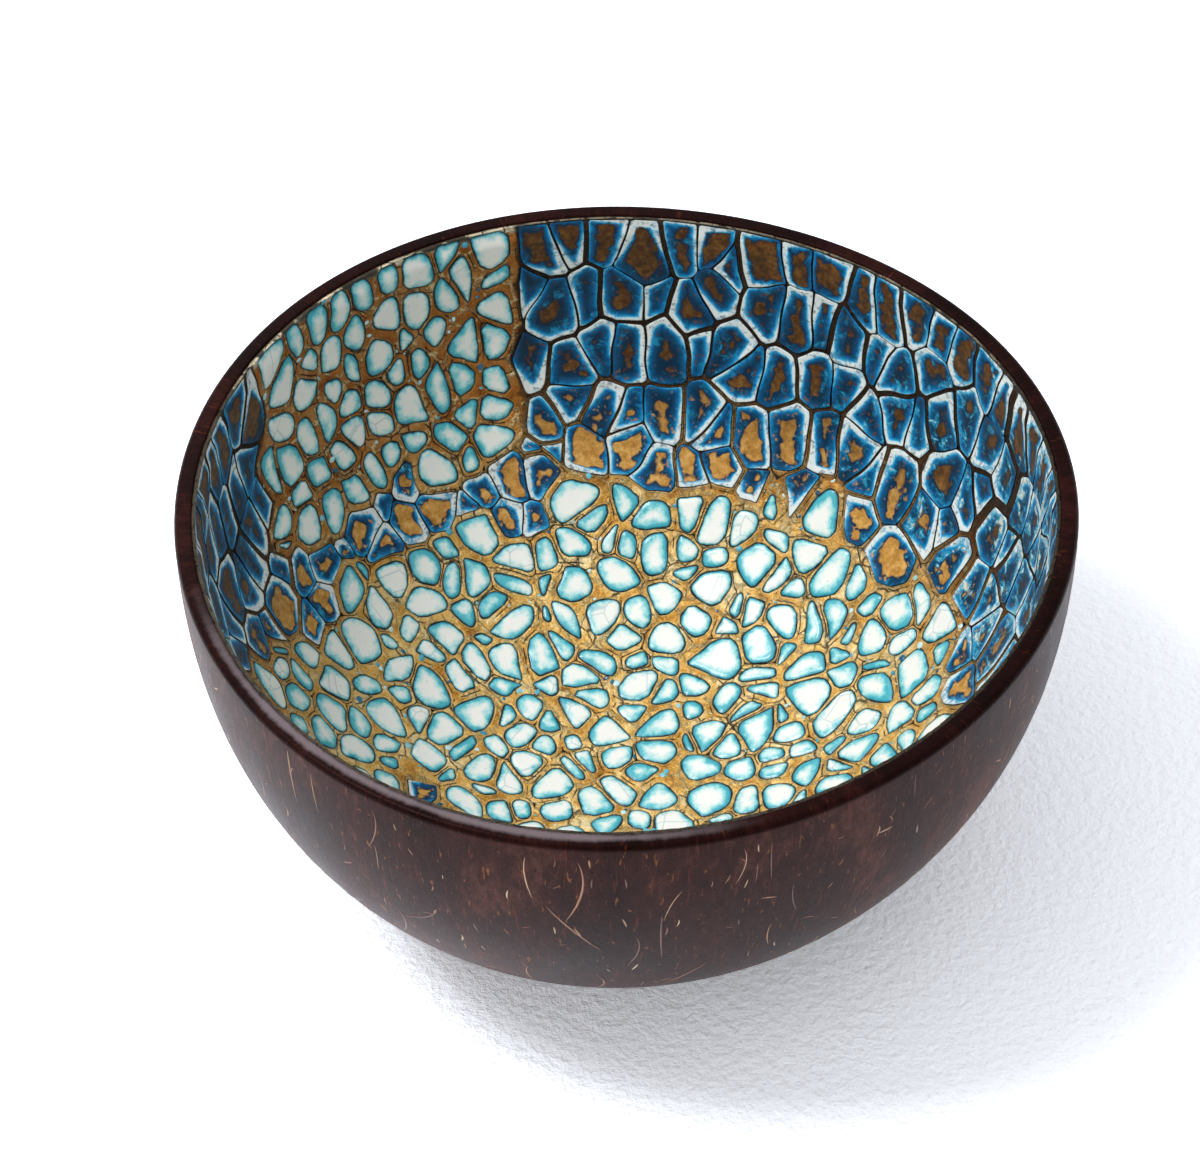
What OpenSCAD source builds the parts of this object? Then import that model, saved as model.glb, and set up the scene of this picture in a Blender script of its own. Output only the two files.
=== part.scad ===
// Coconut shell bowl with an eggshell mosaic set in gold lacquer.
// Origin at the middle of the flat foot, +Z up through the mouth. Millimetres.
// The mosaic is laid out on a flat map of the inside: the distance from the middle of
// the map is the length along the bowl from its lowest point, and the angle is the same.

/* [Shell] */
// Widest diameter of the half shell
bowl_d = 130; // [110:1:150]
// Height from the foot to the rim
bowl_h = 66; // [54:1:80]
// Diameter of the flat that is sanded on the bottom
foot_d = 34; // [20:1:50]
// How far below the rim the shell is widest
belt_drop = 1; // [0:0.1:4]
// Fullness of the curve: 2 is an ellipse, more is squarer
fullness = 2.3; // [2:0.05:2.8]
// Thickness of the shell at the rim
rim_wall = 2.6; // [2.2:0.1:4.5]
// Thickness of the shell at the bottom
floor_wall = 4; // [2.5:0.1:7]
// Radius on the outer edge of the rim
outer_edge = 0.9; // [0.3:0.1:1.2]
// Radius on the inner edge of the rim
inner_edge = 0.3; // [0.1:0.05:0.6]

/* [Lacquer ground] */
// Thickness of the gold lacquer under the mosaic
ground_t = 0.6; // [0.3:0.05:1]
// How far the lacquer stops below the top of the rim
ground_lip = 0.3; // [0.1:0.05:1]
// Clearance between layers that are bonded
bond_gap = 0.02; // [0.01:0.01:0.05]

/* [Eggshell mosaic] */
// Thickness of the eggshell
eggshell_t = 0.35; // [0.25:0.05:0.5]
// Mean spacing of the pale pieces round the bowl
pale_pitch = 5; // [4:0.1:7]
// Mean spacing of the pale pieces up the bowl
pale_length = 5.6; // [4.5:0.1:8]
// Mean spacing of the blue pieces round the bowl
blue_pitch = 5.2; // [4.5:0.1:8]
// Mean spacing of the blue pieces up the bowl
blue_length = 8.6; // [7:0.1:12]
// Mean size of the large flakes that the pieces broke from
flake_pitch = 15; // [11:0.5:20]
// Lacquer line between pale pieces of one flake
pale_gap = 1; // [0.7:0.05:1.4]
// Lacquer line between pale flakes
pale_flake_gap = 1.7; // [1:0.05:2.2]
// Crack between blue pieces of one flake
blue_gap = 0.45; // [0.4:0.05:0.7]
// Lacquer line between blue flakes
blue_flake_gap = 0.95; // [0.6:0.05:1.6]
// Lacquer line between two colour fields
field_gap = 1.9; // [1.2:0.1:3]
// Bare lacquer left between the mosaic and its upper edge
rim_margin = 0.8; // [0.4:0.1:2]

/* [Hidden] */
$fn = 128;

// Straight steps in each drawn curve, and in a rounded edge
curve_steps = 48;
edge_steps = 6;

// Places that follow from the sizes above
belt_z = bowl_h - belt_drop;
bowl_r = bowl_d / 2;
foot_r = foot_d / 2;
cavity_r = bowl_r - rim_wall;
cavity_h = belt_z - floor_wall;
seat_r = cavity_r - bond_gap;
seat_h = cavity_h - bond_gap;
bed_r = seat_r - ground_t;
bed_h = seat_h - ground_t;
ground_top = bowl_h - ground_lip;

// Depth of the full outer curve, of which the foot is sanded away
outer_h = belt_z / pow(1 - pow(foot_r / bowl_r, fullness), 1 / fullness);

// One curve of the bowl: half-width wide at the belt, deep below it, between two angles
function curve(wide, deep, from, to) = [
    for (i = [0 : curve_steps])
        let (a = from + (to - from) * i / curve_steps)
        [wide * pow(sin(a), 2 / fullness),
         belt_z - deep * sign(cos(a)) * pow(abs(cos(a)), 2 / fullness)]
];

// Angle at which a curve of that depth reaches a height
function angle_at(deep, z) =
    acos(sign(belt_z - z) * pow(abs(belt_z - z) / deep, fullness / 2));

// A quarter round edge, from one angle to another
function edge(mid, radius, from, to) = [
    for (i = [0 : edge_steps])
        let (a = from + (to - from) * i / edge_steps)
        mid + radius * [cos(a), sin(a)]
];

function reversed(list) = [for (i = [len(list) - 1 : -1 : 0]) list[i]];
function last(list) = list[len(list) - 1];

outer_curve = curve(bowl_r, outer_h, angle_at(outer_h, 0), angle_at(outer_h, bowl_h - outer_edge));
cavity_curve = curve(cavity_r, cavity_h, 0, angle_at(cavity_h, bowl_h - inner_edge));
seat_curve = curve(seat_r, seat_h, 0, angle_at(seat_h, ground_top));
bed_curve = curve(bed_r, bed_h, 0, angle_at(bed_h, ground_top));

// Length along the bed from its lowest point, at each point of its curve
function lengths(list, i = 0, sum = 0, found = []) =
    i == len(list) ? found :
    let (now = i == 0 ? 0 : sum + norm(list[i] - list[i - 1]))
    lengths(list, i + 1, now, concat(found, [now]));
bed_lengths = lengths(bed_curve);
map_r = last(bed_lengths);
radius_table = [for (i = [0 : curve_steps]) [bed_lengths[i], bed_curve[i].x]];
height_table = [for (i = [0 : curve_steps]) [bed_lengths[i], bed_curve[i].y]];

// Point of the bed, in its own half plane, at a length along it, and the slope there
function on_bed(along) = [lookup(along, radius_table), lookup(along, height_table)];
function slope(along) =
    let (step = map_r / curve_steps,
         rise = on_bed(min(along + step, map_r)) - on_bed(max(along - step, 0)))
    atan2(rise.y, rise.x);
// How many times wider the map is than the bowl there
function widening(along) = along < map_r / curve_steps ? 1 : along / on_bed(along).x;

// Colour fields, as outlines of [share of the length up the bowl, angle round it].
// Points past the rim keep the straight sides of an outline clear of it.
band_shares = [
    [0.5, 104], [0.56, 102], [0.6, 112], [0.635, 130], [0.65, 145], [0.64, 157],
    [0.57, 165], [0.55, 150], [0.54, 137], [0.495, 116]
];
pale_wall_shares = [
    [0.57, 111], [0.94, 106], [1.15, 104], [1.15, 126], [1.15, 148], [0.87, 150],
    [0.72, 156], [0.64, 157]
];
blue_left_shares = [
    [1.15, 147], [0.87, 149], [0.7, 156], [0.56, 163], [0.6, 170], [0.66, 176],
    [0.7, 184], [0.78, 193], [0.86, 201], [1.15, 206], [1.15, 176]
];
blue_back_shares = [
    [0.57, 112], [0.545, 103], [0.545, 90], [0.52, 76], [0.55, 60], [0.57, 51],
    [0.535, 43], [0.535, 33], [0.58, 27], [0.6, 20], [1.15, 18], [1.15, 45],
    [1.15, 75], [1.15, 105], [0.94, 106]
];
blue_right_shares = [
    [0.6, 22], [0.615, 16], [0.605, 11], [0.53, 4], [0.53, -4], [0.6, -12],
    [0.66, -22], [0.75, -32], [1.15, -37], [1.15, -10], [1.15, 22]
];
blue_front_shares = [
    [0.28, 188], [0.35, 187], [0.44, 199], [0.53, 214], [0.63, 228], [0.8, 237],
    [1.15, 241], [1.15, 263], [1.15, 285], [0.8, 281], [0.62, 268], [0.52, 250],
    [0.42, 228], [0.32, 204]
];
pale_front_shares = [
    [0.57, 196], [1.15, 200], [1.15, 230], [1.15, 260], [1.15, 290], [1.15, 324],
    [0.72, 330], [0.57, 342], [0.54, 315], [0.54, 290], [0.54, 260], [0.54, 225]
];

// The fields in the order in which they are tried; what is in none is the pale floor
PALE_FLOOR = 0;
PALE_WALL = 1;
PALE_FRONT = 2;
BLUE_BACK = 3;
BLUE_RIGHT = 4;
BLUE_LEFT = 5;
BLUE_BAND = 6;
BLUE_FRONT = 7;
function is_blue(field) = field >= BLUE_BACK;
// The band is blue, but broken as small as the pale fields
function is_long(field) = is_blue(field) && field != BLUE_BAND;
field_outlines = [
    [BLUE_BAND, band_shares], [PALE_WALL, pale_wall_shares], [BLUE_LEFT, blue_left_shares],
    [BLUE_BACK, blue_back_shares], [BLUE_RIGHT, blue_right_shares],
    [BLUE_FRONT, blue_front_shares], [PALE_FRONT, pale_front_shares]
];

// Whether the side from a to b lies to the right of the point, level with it
function crosses(p, a, b) =
    (a.y > p.y) != (b.y > p.y) && p.x < a.x + (b.x - a.x) * (p.y - a.y) / (b.y - a.y);
function inside(p, outline) =
    let (count = len([
        for (i = [0 : len(outline) - 1])
            if (crosses(p, outline[i], outline[(i + 1) % len(outline)])) 1
    ]))
    count % 2 == 1;
function flat(shares) = [for (s = shares) map_r * s[0] * [cos(s[1]), sin(s[1])]];
flat_outlines = [for (f = field_outlines) [f[0], flat(f[1])]];
function field_of(p) =
    let (found = [for (f = flat_outlines) if (inside(p, f[1])) f[0]])
    len(found) > 0 ? found[0] : PALE_FLOOR;

// Points scattered on rings of the map, a pitch apart round the bowl and a length apart
// up it, each moved at random by up to a share of those
scatter_share = 0.38;
// Up the wall the rings stand further apart, by twice this share
small_growth_share = 0.14;
long_growth_share = 0.35;
function scattered(pitch, length, growth, seed) =
    let (rings = max(1, round(map_r / length)))
    [for (k = [0 : rings - 1])
        let (part = (k + 0.5) / rings,
             along = map_r * part * (1 + growth * part) / (1 + growth),
             count = max(1, round(360 * on_bed(along).x * PI / 180 / pitch)),
             start = rands(0, 360, 1, seed + k)[0],
             turns = rands(-scatter_share, scatter_share, count, seed + k + rings),
             moves = rands(-scatter_share, scatter_share, count, seed + k + 2 * rings))
        for (i = [0 : count - 1])
            let (a = start + 360 * (i + turns[i]) / count,
                 r = along + length * moves[i])
            if (r < map_r - rim_margin) r * [cos(a), sin(a)]
    ];

// Fixed seeds of the random draws
flake_seed = 31;
pale_seed = 407;
blue_seed = 211;
size_seed = 53;

flakes = scattered(flake_pitch, flake_pitch, small_growth_share, flake_seed);
function nearest(p, list, i = 0, best = 0) =
    i == len(list) ? best :
    nearest(p, list, i + 1, norm(p - list[i]) < norm(p - list[best]) ? i : best);

// How much larger or smaller a piece may grow than its neighbours, as a share of its
// spacing squared
size_share = 0.3;
// Every piece as [place on the map, field, flake, size]
function pieces_from(points, long, spread, seed) =
    let (sizes = rands(-spread, spread, len(points), seed))
    [for (i = [0 : len(points) - 1])
        let (field = field_of(points[i]))
        if (is_long(field) == long)
            [points[i], field, nearest(points[i], flakes), sizes[i]]
    ];
pieces = concat(
    pieces_from(scattered(pale_pitch, pale_length, small_growth_share, pale_seed), false,
                size_share * pale_pitch * pale_length, size_seed),
    pieces_from(scattered(blue_pitch, blue_length, long_growth_share, blue_seed), true,
                size_share * blue_pitch * blue_pitch, size_seed + 1)
);

// Width of the lacquer between two pieces
function gap_between(p, q) =
    p[1] != q[1] ? field_gap :
    p[2] != q[2] ? (is_blue(p[1]) ? blue_flake_gap : pale_flake_gap) :
    is_blue(p[1]) ? blue_gap : pale_gap;

// The part of a convex outline on the near side of a line
function cut(outline, normal, reach) = [
    for (i = [0 : len(outline) - 1])
        let (a = outline[i],
             b = outline[(i + 1) % len(outline)],
             da = a * normal - reach,
             db = b * normal - reach)
        each concat(da <= 0 ? [a] : [], da * db < 0 ? [a + (b - a) * da / (da - db)] : [])
];

// An outline cut back, neighbour by neighbour, to half the gap from the line between them
function cut_all(outline, p, near, i = 0) =
    i == len(near) || len(outline) < 3 ? outline :
    let (q = near[i],
         step = q[0] - p[0],
         normal = step / norm(step),
         up = p[0] / max(norm(p[0]), bond_gap),
         radial = normal * up,
         wide = widening(norm(p[0])),
         gap = gap_between(p, q) * sqrt(radial * radial + wide * wide * (1 - radial * radial)),
         reach = normal * p[0] + norm(step) / 2 + (p[3] - q[3]) / norm(step) / 2 - gap / 2)
    cut_all(cut(outline, normal, reach), p, near, i + 1);

// The furthest that a piece may reach, as shares of its spacing up and round the bowl
reach_up_share = 0.85;
reach_across_share = 0.85;
function blank(p) =
    let (long = is_long(p[1]),
         up = p[0] / max(norm(p[0]), bond_gap),
         across = [-up.y, up.x],
         high = reach_up_share * (long ? blue_length : pale_length),
         wide = reach_across_share * (long ? blue_pitch : pale_pitch) * widening(norm(p[0])))
    cut([p[0] + up * high + across * wide, p[0] - up * high + across * wide,
         p[0] - up * high - across * wide, p[0] + up * high - across * wide],
        up, map_r - rim_margin);

function outline_of(p) =
    let (reach = 2 * max(blue_length, pale_length),
         near = [for (q = pieces) if (q != p && norm(q[0] - p[0]) < reach) q])
    cut_all(blank(p), p, near);

function area(list, i = 0, sum = 0) =
    i == len(list) ? sum / 2 :
    let (a = list[i], b = list[(i + 1) % len(list)])
    area(list, i + 1, sum + a.x * b.y - a.y * b.x);
function total(list, i = 0, sum = [0, 0]) = i == len(list) ? sum : total(list, i + 1, sum + list[i]);

// Corners of a pale piece are worn off by this share of each side
corner_share = 0.22;
function worn(outline, share) = [
    for (i = [0 : len(outline) - 1])
        let (a = outline[i], b = outline[(i + 1) % len(outline)])
        each [a + (b - a) * share, b - (b - a) * share]
];

// One flat chip of eggshell, from its outline on the map to its seat on the bed.
// It lies on its corners, so it is raised by what the bed rises under them.
module tessera(outline) {
    mid = total(outline) / len(outline);
    along = norm(mid);
    turn = atan2(mid.y, mid.x);
    tilt = slope(along);
    seat = on_bed(along);
    corners = [
        for (p = outline)
            let (place = on_bed(norm(p)),
                 a = atan2(p.y, p.x) - turn,
                 out = place.x * cos(a) - seat.x,
                 rise = place.y - seat.y)
            [out * cos(tilt) + rise * sin(tilt), place.x * sin(a), rise * cos(tilt) - out * sin(tilt)]
    ];
    lift = max([for (c = corners) c.z]) + bond_gap;
    rotate([0, 0, turn])
        translate([seat.x, 0, seat.y])
            rotate([0, -tilt, 0])
                translate([0, 0, lift])
                    linear_extrude(eggshell_t)
                        polygon([for (c = corners) [c.x, c.y]]);
}

// Chips smaller than this share of their spacing squared are left out
least_share = 0.09;
module tesserae(field) {
    least = least_share * pale_pitch * pale_length;
    for (p = pieces) {
        if (p[1] == field) {
            outline = outline_of(p);
            if (len(outline) > 2 && abs(area(outline)) > least) {
                tessera(is_blue(field) ? outline : worn(outline, corner_share));
            }
        }
    }
}

// The half shell of a coconut, sanded and polished outside, with a flat foot
module coconut_shell() {
    top_out = last(outer_curve);
    top_in = last(cavity_curve);
    color([0.29, 0.21, 0.2])
        rotate_extrude()
            polygon(concat(
                [[0, 0]],
                outer_curve,
                edge(top_out - [outer_edge, 0], outer_edge, 0, 90),
                edge(top_in + [inner_edge, 0], inner_edge, 90, 180),
                reversed(cavity_curve)
            ));
}

// The gold lacquer that lines the shell and holds the mosaic
module lacquer_ground() {
    color([0.77, 0.58, 0.24])
        rotate_extrude()
            polygon(concat(seat_curve, reversed(bed_curve)));
}

// Pale chips on the bottom, laid with the outside of the egg up
module pale_floor_tesserae() {
    color([0.86, 0.93, 0.93]) tesserae(PALE_FLOOR);
}

// Pale chips on the back of the left wall
module pale_wall_tesserae() {
    color([0.76, 0.83, 0.83]) tesserae(PALE_WALL);
}

// Pale chips on the front wall
module pale_front_tesserae() {
    color([0.82, 0.9, 0.91]) tesserae(PALE_FRONT);
}

// Blue chips on the back wall, laid with the hollow of the egg up
module blue_back_tesserae() {
    color([0.1, 0.36, 0.58]) tesserae(BLUE_BACK);
}

// Blue chips on the right wall
module blue_right_tesserae() {
    color([0.14, 0.44, 0.64]) tesserae(BLUE_RIGHT);
}

// Blue chips on the left wall
module blue_left_tesserae() {
    color([0.07, 0.3, 0.5]) tesserae(BLUE_LEFT);
}

// Blue chips in the curved band between the two pale fields
module blue_band_tesserae() {
    color([0.12, 0.4, 0.6]) tesserae(BLUE_BAND);
}

// Blue chips that sweep from the bottom up the front wall
module blue_front_tesserae() {
    color([0.09, 0.33, 0.54]) tesserae(BLUE_FRONT);
}

coconut_shell();
lacquer_ground();
pale_floor_tesserae();
pale_wall_tesserae();
pale_front_tesserae();
blue_back_tesserae();
blue_right_tesserae();
blue_left_tesserae();
blue_band_tesserae();
blue_front_tesserae();
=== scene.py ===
import bmesh
import bpy
import numpy as np
from mathutils import Matrix, Vector
from mathutils.geometry import delaunay_2d_cdt


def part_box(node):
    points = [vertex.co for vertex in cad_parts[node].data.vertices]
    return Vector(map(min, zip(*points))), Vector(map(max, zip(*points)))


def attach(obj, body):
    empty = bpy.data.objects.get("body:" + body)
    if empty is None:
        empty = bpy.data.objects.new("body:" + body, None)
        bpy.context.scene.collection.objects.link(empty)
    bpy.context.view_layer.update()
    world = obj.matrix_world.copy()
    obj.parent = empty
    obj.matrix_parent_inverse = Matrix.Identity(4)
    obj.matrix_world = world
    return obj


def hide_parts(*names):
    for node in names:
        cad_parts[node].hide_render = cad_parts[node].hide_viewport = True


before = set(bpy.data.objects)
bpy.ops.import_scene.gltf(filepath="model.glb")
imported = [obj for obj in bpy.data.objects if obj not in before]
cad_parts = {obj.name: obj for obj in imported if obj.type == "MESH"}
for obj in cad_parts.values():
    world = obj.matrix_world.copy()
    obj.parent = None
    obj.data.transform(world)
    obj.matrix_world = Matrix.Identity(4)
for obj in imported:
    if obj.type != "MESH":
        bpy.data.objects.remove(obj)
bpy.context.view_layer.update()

# The shell.
# Half of a coconut's hard inner shell, sawn level, scraped, sanded and oiled to a satin polish.
# A nut is never quite round, and pale husk fibres stay in the brown surface.
# Sizes here and below are in millimetres; a finished mesh is turned to metres.
shell_low, shell_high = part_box("coconut_shell")
bowl_r = 1000 * (shell_high[0] - shell_low[0]) / 2
bowl_h = 1000 * shell_high[2]
fullness = 2.3
belt_z = bowl_h - 1
foot_r = 17
rim_wall = 2.6
floor_wall = 4
outer_edge = 0.9
inner_edge = 0.3
skin = 0.05
# How far from its edge the flat of the foot ends, and points round the shell and along its section
foot_turn = 1.2
sectors = 321
outside_steps = 90
hollow_steps = 40
# Three flatter sides take this much off the radius at most, and it is widest this many degrees round
flat_off = 1.3
widest = 13


def bowl_curve(wide, deep, angles):
    """Radius and height of a bowl curve that is wide at the belt and deep below it."""
    drop = np.sign(np.cos(angles)) * np.abs(np.cos(angles)) ** (2 / fullness)
    return np.stack([wide * np.sin(angles) ** (2 / fullness), belt_z - deep * drop], 1)


def angle_at(deep, height):
    """Angle at which a bowl curve of that depth reaches a height."""
    drop = (belt_z - height) / deep
    return np.arccos(np.sign(drop) * abs(drop) ** (fullness / 2))


def nut_share(angles):
    """Share of the round bowl's radius that the nut has in each direction."""
    return 1 - flat_off / bowl_r * (1 - np.cos(3 * (angles - np.radians(widest)))) / 2


def circle(turns):
    """Points of a circle of radius 1 at these angles."""
    return np.stack([np.cos(turns), np.sin(turns)], 1)


def quarter(middle, radius, start, end, steps=8):
    """A quarter circle of a rounded edge, between two angles in degrees."""
    return np.array(middle) + radius * circle(np.radians(np.linspace(start, end, steps)))


def hex_colour(text):
    """Linear colour of an sRGB hex value."""
    srgb = np.array([int(text[i:i + 2], 16) for i in (1, 3, 5)]) / 255
    linear = np.where(srgb <= 0.04045, srgb / 12.92, ((srgb + 0.055) / 1.055) ** 2.4)
    return (*linear, 1)


def add(tree, kind, links=(), **settings):
    """Adds a node. An input takes a value, a hex colour, a socket, or a node for its first output."""
    node = tree.nodes.new(kind)
    for name, value in settings.items():
        if name == "stops":
            ramp = node.color_ramp.elements
            while len(ramp) < len(value):
                ramp.new(1)
            for stop, (place, colour) in zip(ramp, value):
                stop.position = place
                stop.color = hex_colour(colour)
        else:
            setattr(node, name, value)
    for name, value in dict(links).items():
        if isinstance(value, bpy.types.Node):
            value = value.outputs[0]
        if isinstance(value, bpy.types.NodeSocket):
            tree.links.new(value, node.inputs[name])
        elif isinstance(value, str) and value.startswith("#"):
            node.inputs[name].default_value = hex_colour(value)
        else:
            node.inputs[name].default_value = value
    return node


def new_finish(name):
    """A material with an empty tree, and its tree."""
    finish = bpy.data.materials.new(name)
    finish.use_nodes = True
    finish.node_tree.nodes.clear()
    return finish, finish.node_tree


def lay_over(tree, under, colour, level, start, end, least=0, most=1, blend="MIX"):
    """Lays a colour over another: its share goes from least to most as a level goes from start to end."""
    share = add(tree, "ShaderNodeMapRange", {
        "Value": level, "From Min": start, "From Max": end, "To Min": least, "To Max": most},
        interpolation_type="SMOOTHSTEP")
    mixed = add(tree, "ShaderNodeMix", {0: share, 6: under, 7: colour}, data_type="RGBA", blend_type=blend)
    return mixed.outputs[2]


def per(size):
    """Scale of a texture on Object coordinates whose features are this many millimetres."""
    return 1000 / size


def shell_lines():
    """Outline of the shell's section, from the middle of the foot round to the middle of the hollow."""
    deep = belt_z / (1 - (foot_r / bowl_r) ** fullness) ** (1 / fullness)
    rim_in = bowl_r - rim_wall
    deep_in = belt_z - floor_wall
    wide = bowl_r - skin
    outer_angles = np.linspace(angle_at(deep, 0), angle_at(deep, bowl_h - outer_edge), outside_steps)
    inner_angles = np.linspace(angle_at(deep_in, bowl_h - inner_edge), 0.02, hollow_steps)
    outside = bowl_curve(wide, deep, outer_angles)
    hollow = bowl_curve(rim_in, deep_in, inner_angles)
    # Before the wall begins, the edge of the foot turns up a little
    foot = np.stack([np.linspace(0, foot_r - foot_turn, 8), np.zeros(8)], 1)
    return np.concatenate([
        foot, [[foot_r - 0.5, 0.03]], outside[1:],
        quarter(outside[-1] - [outer_edge, 0], outer_edge, 0, 90)[1:],
        quarter(hollow[0] + [inner_edge, 0], inner_edge, 90, 180),
        hollow[1:], [[0, floor_wall]]])


def new_rule(name, inputs):
    """A Geometry Nodes tree with these named inputs, and what the inputs give."""
    made = bpy.data.node_groups.new(name, "GeometryNodeTree")
    made.interface.new_socket("Geometry", in_out="INPUT", socket_type="NodeSocketGeometry")
    for key, kind in inputs.items():
        made.interface.new_socket(key, in_out="INPUT", socket_type="NodeSocket" + kind)
    made.interface.new_socket("Geometry", in_out="OUTPUT", socket_type="NodeSocketGeometry")
    return made, add(made, "NodeGroupInput").outputs


def shell_rule():
    """Turns a section round the middle into a closed shell that is a little out of round."""
    made, given = new_rule("coconut_shell", {
        "Rings": "Int", "Sectors": "Int", "Flatter": "Float", "Widest": "Float", "Radius": "Float",
        "Finish": "Material"})
    sheet = add(made, "GeometryNodeMeshGrid", {
        "Vertices X": given["Rings"], "Vertices Y": given["Sectors"]})
    number = add(made, "GeometryNodeInputIndex")
    ring = add(made, "ShaderNodeMath", {0: number, 1: given["Sectors"]}, operation="DIVIDE")
    ring = add(made, "ShaderNodeMath", {0: ring}, operation="FLOOR")
    column = add(made, "ShaderNodeMath", {0: number, 1: given["Sectors"]}, operation="MODULO")
    last = add(made, "ShaderNodeMath", {0: given["Sectors"], 1: 1.0}, operation="SUBTRACT")
    turn = add(made, "ShaderNodeMath", {0: column, 1: last}, operation="DIVIDE")
    turn = add(made, "ShaderNodeMath", {0: turn, 1: 2 * np.pi}, operation="MULTIPLY")
    # The section's points hold a radius, a height and the length along the section
    spot = add(made, "GeometryNodeInputPosition")
    read = add(made, "GeometryNodeSampleIndex", {
        "Geometry": given["Geometry"], "Value": spot, "Index": ring}, data_type="FLOAT_VECTOR")
    parts = add(made, "ShaderNodeSeparateXYZ", {0: read})
    off = add(made, "ShaderNodeMath", {0: turn, 1: given["Widest"]}, operation="SUBTRACT")
    off = add(made, "ShaderNodeMath", {0: off, 1: 3.0}, operation="MULTIPLY")
    wave = add(made, "ShaderNodeMath", {0: off}, operation="COSINE")
    share = add(made, "ShaderNodeMapRange", {
        "Value": wave, "From Min": -1.0, "To Min": given["Flatter"], "To Max": 1.0})
    reach = add(made, "ShaderNodeMath", {0: share, 1: parts.outputs["X"]}, operation="MULTIPLY")
    across = add(made, "ShaderNodeMath", {0: turn}, operation="COSINE")
    along = add(made, "ShaderNodeMath", {0: turn}, operation="SINE")
    facing = add(made, "ShaderNodeCombineXYZ", {0: across, 1: along})
    out = add(made, "ShaderNodeVectorMath", {0: facing, "Scale": reach}, operation="SCALE")
    rise = add(made, "ShaderNodeCombineXYZ", {2: parts.outputs["Y"]})
    put = add(made, "ShaderNodeVectorMath", {0: out, 1: rise}, operation="ADD")
    turned = add(made, "GeometryNodeSetPosition", {"Geometry": sheet.outputs["Mesh"], "Position": put})
    # The grain of the finish: round the shell, and along its section
    round_place = add(made, "ShaderNodeVectorMath", {
        0: facing, "Scale": given["Radius"]}, operation="SCALE")
    length = add(made, "ShaderNodeMath", {0: parts.outputs["Z"], 1: 1000.0}, operation="MULTIPLY")
    length = add(made, "ShaderNodeCombineXYZ", {2: length})
    grain = add(made, "ShaderNodeVectorMath", {0: round_place, 1: length}, operation="ADD")
    marked = add(made, "GeometryNodeStoreNamedAttribute", {
        "Geometry": turned, "Name": "grain", "Value": grain}, data_type="FLOAT_VECTOR", domain="POINT")
    closed = add(made, "GeometryNodeMergeByDistance", {"Geometry": marked, "Distance": 1e-6})
    outward = add(made, "GeometryNodeFlipFaces", {0: closed})
    smooth_all = add(made, "GeometryNodeSetShadeSmooth", {0: outward})
    real = add(made, "GeometryNodeRealizeInstances", {0: smooth_all})
    painted = add(made, "GeometryNodeSetMaterial", {"Geometry": real, "Material": given["Finish"]})
    add(made, "NodeGroupOutput", {0: painted})
    return made


def new_object(name, data):
    """An object in the scene that holds a mesh, a lamp or a camera."""
    made = bpy.data.objects.new(name, data)
    bpy.context.scene.collection.objects.link(made)
    return made


def grown_by(base, tree, name, finish, inputs):
    """The plain mesh that a Geometry Nodes tree makes from a base object, as a new piece."""
    grower = base.modifiers.new("grow", "NODES")
    grower.node_group = tree
    sockets = {s.name: s.identifier for s in tree.interface.items_tree if s.in_out == "INPUT"}
    for key, value in inputs.items():
        grower[sockets[key]] = value
    evaluated = base.evaluated_get(bpy.context.evaluated_depsgraph_get())
    mesh = bpy.data.meshes.new_from_object(evaluated)
    base.modifiers.remove(grower)
    mesh.name = name
    mesh.materials.clear()
    mesh.materials.append(finish)
    mesh.polygons.foreach_set("material_index", [0] * len(mesh.polygons))
    return new_object(name, mesh)


# Polished coconut shell: a dark red-brown with lighter fibre streaks that run from rim to foot,
# short pale flecks, dark pores, and a soft oil polish.
section = shell_lines()
lengths = np.concatenate([[0], np.cumsum(np.hypot(*np.diff(section, axis=0).T))])
land_middle = float(np.mean(lengths[section[:, 1] > bowl_h - 0.01]))
polished_shell, tree = new_finish("polished_coconut_shell")
along = add(tree, "ShaderNodeAttribute", attribute_name="grain").outputs["Vector"]
streak_place = add(tree, "ShaderNodeMapping", {"Vector": along, "Scale": (1, 1, 0.4)})
streaks = add(tree, "ShaderNodeTexNoise", {
    "Vector": streak_place, "Scale": 0.8, "Detail": 6, "Roughness": 0.7})
cloud_place = add(tree, "ShaderNodeMapping", {"Vector": along, "Scale": (1, 1, 0.5)})
clouds = add(tree, "ShaderNodeTexNoise", {
    "Vector": cloud_place, "Scale": 0.07, "Detail": 5, "Roughness": 0.6})
tone = add(tree, "ShaderNodeMath", {0: streaks, 1: 0.5, 2: clouds}, operation="MULTIPLY_ADD")
brown = add(tree, "ShaderNodeValToRGB", {"Fac": tone}, stops=[
    (0.48, "#120909"), (0.64, "#231312"), (0.8, "#38201e"), (0.96, "#5e3d36")])
fleck_place = add(tree, "ShaderNodeMapping", {"Vector": along, "Scale": (1, 1, 0.22)})
flecks = add(tree, "ShaderNodeTexNoise", {
    "Vector": fleck_place, "Scale": 1.7, "Detail": 1, "Distortion": 0.8})
flecked = lay_over(tree, brown, "#8d5a3c", flecks, 0.68, 0.76, most=0.8)
pores = add(tree, "ShaderNodeTexNoise", {"Vector": along, "Scale": 2.6, "Detail": 2})
scratch_place = add(tree, "ShaderNodeMapping", {
    "Vector": along, "Rotation": (0, 0.3, 0), "Scale": (1, 1, 0.09)})
scratches = add(tree, "ShaderNodeTexNoise", {"Vector": scratch_place, "Scale": 1.9, "Detail": 3})
scratched = lay_over(tree, flecked, "#6c382e", scratches, 0.6, 0.72, most=0.5)
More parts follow.
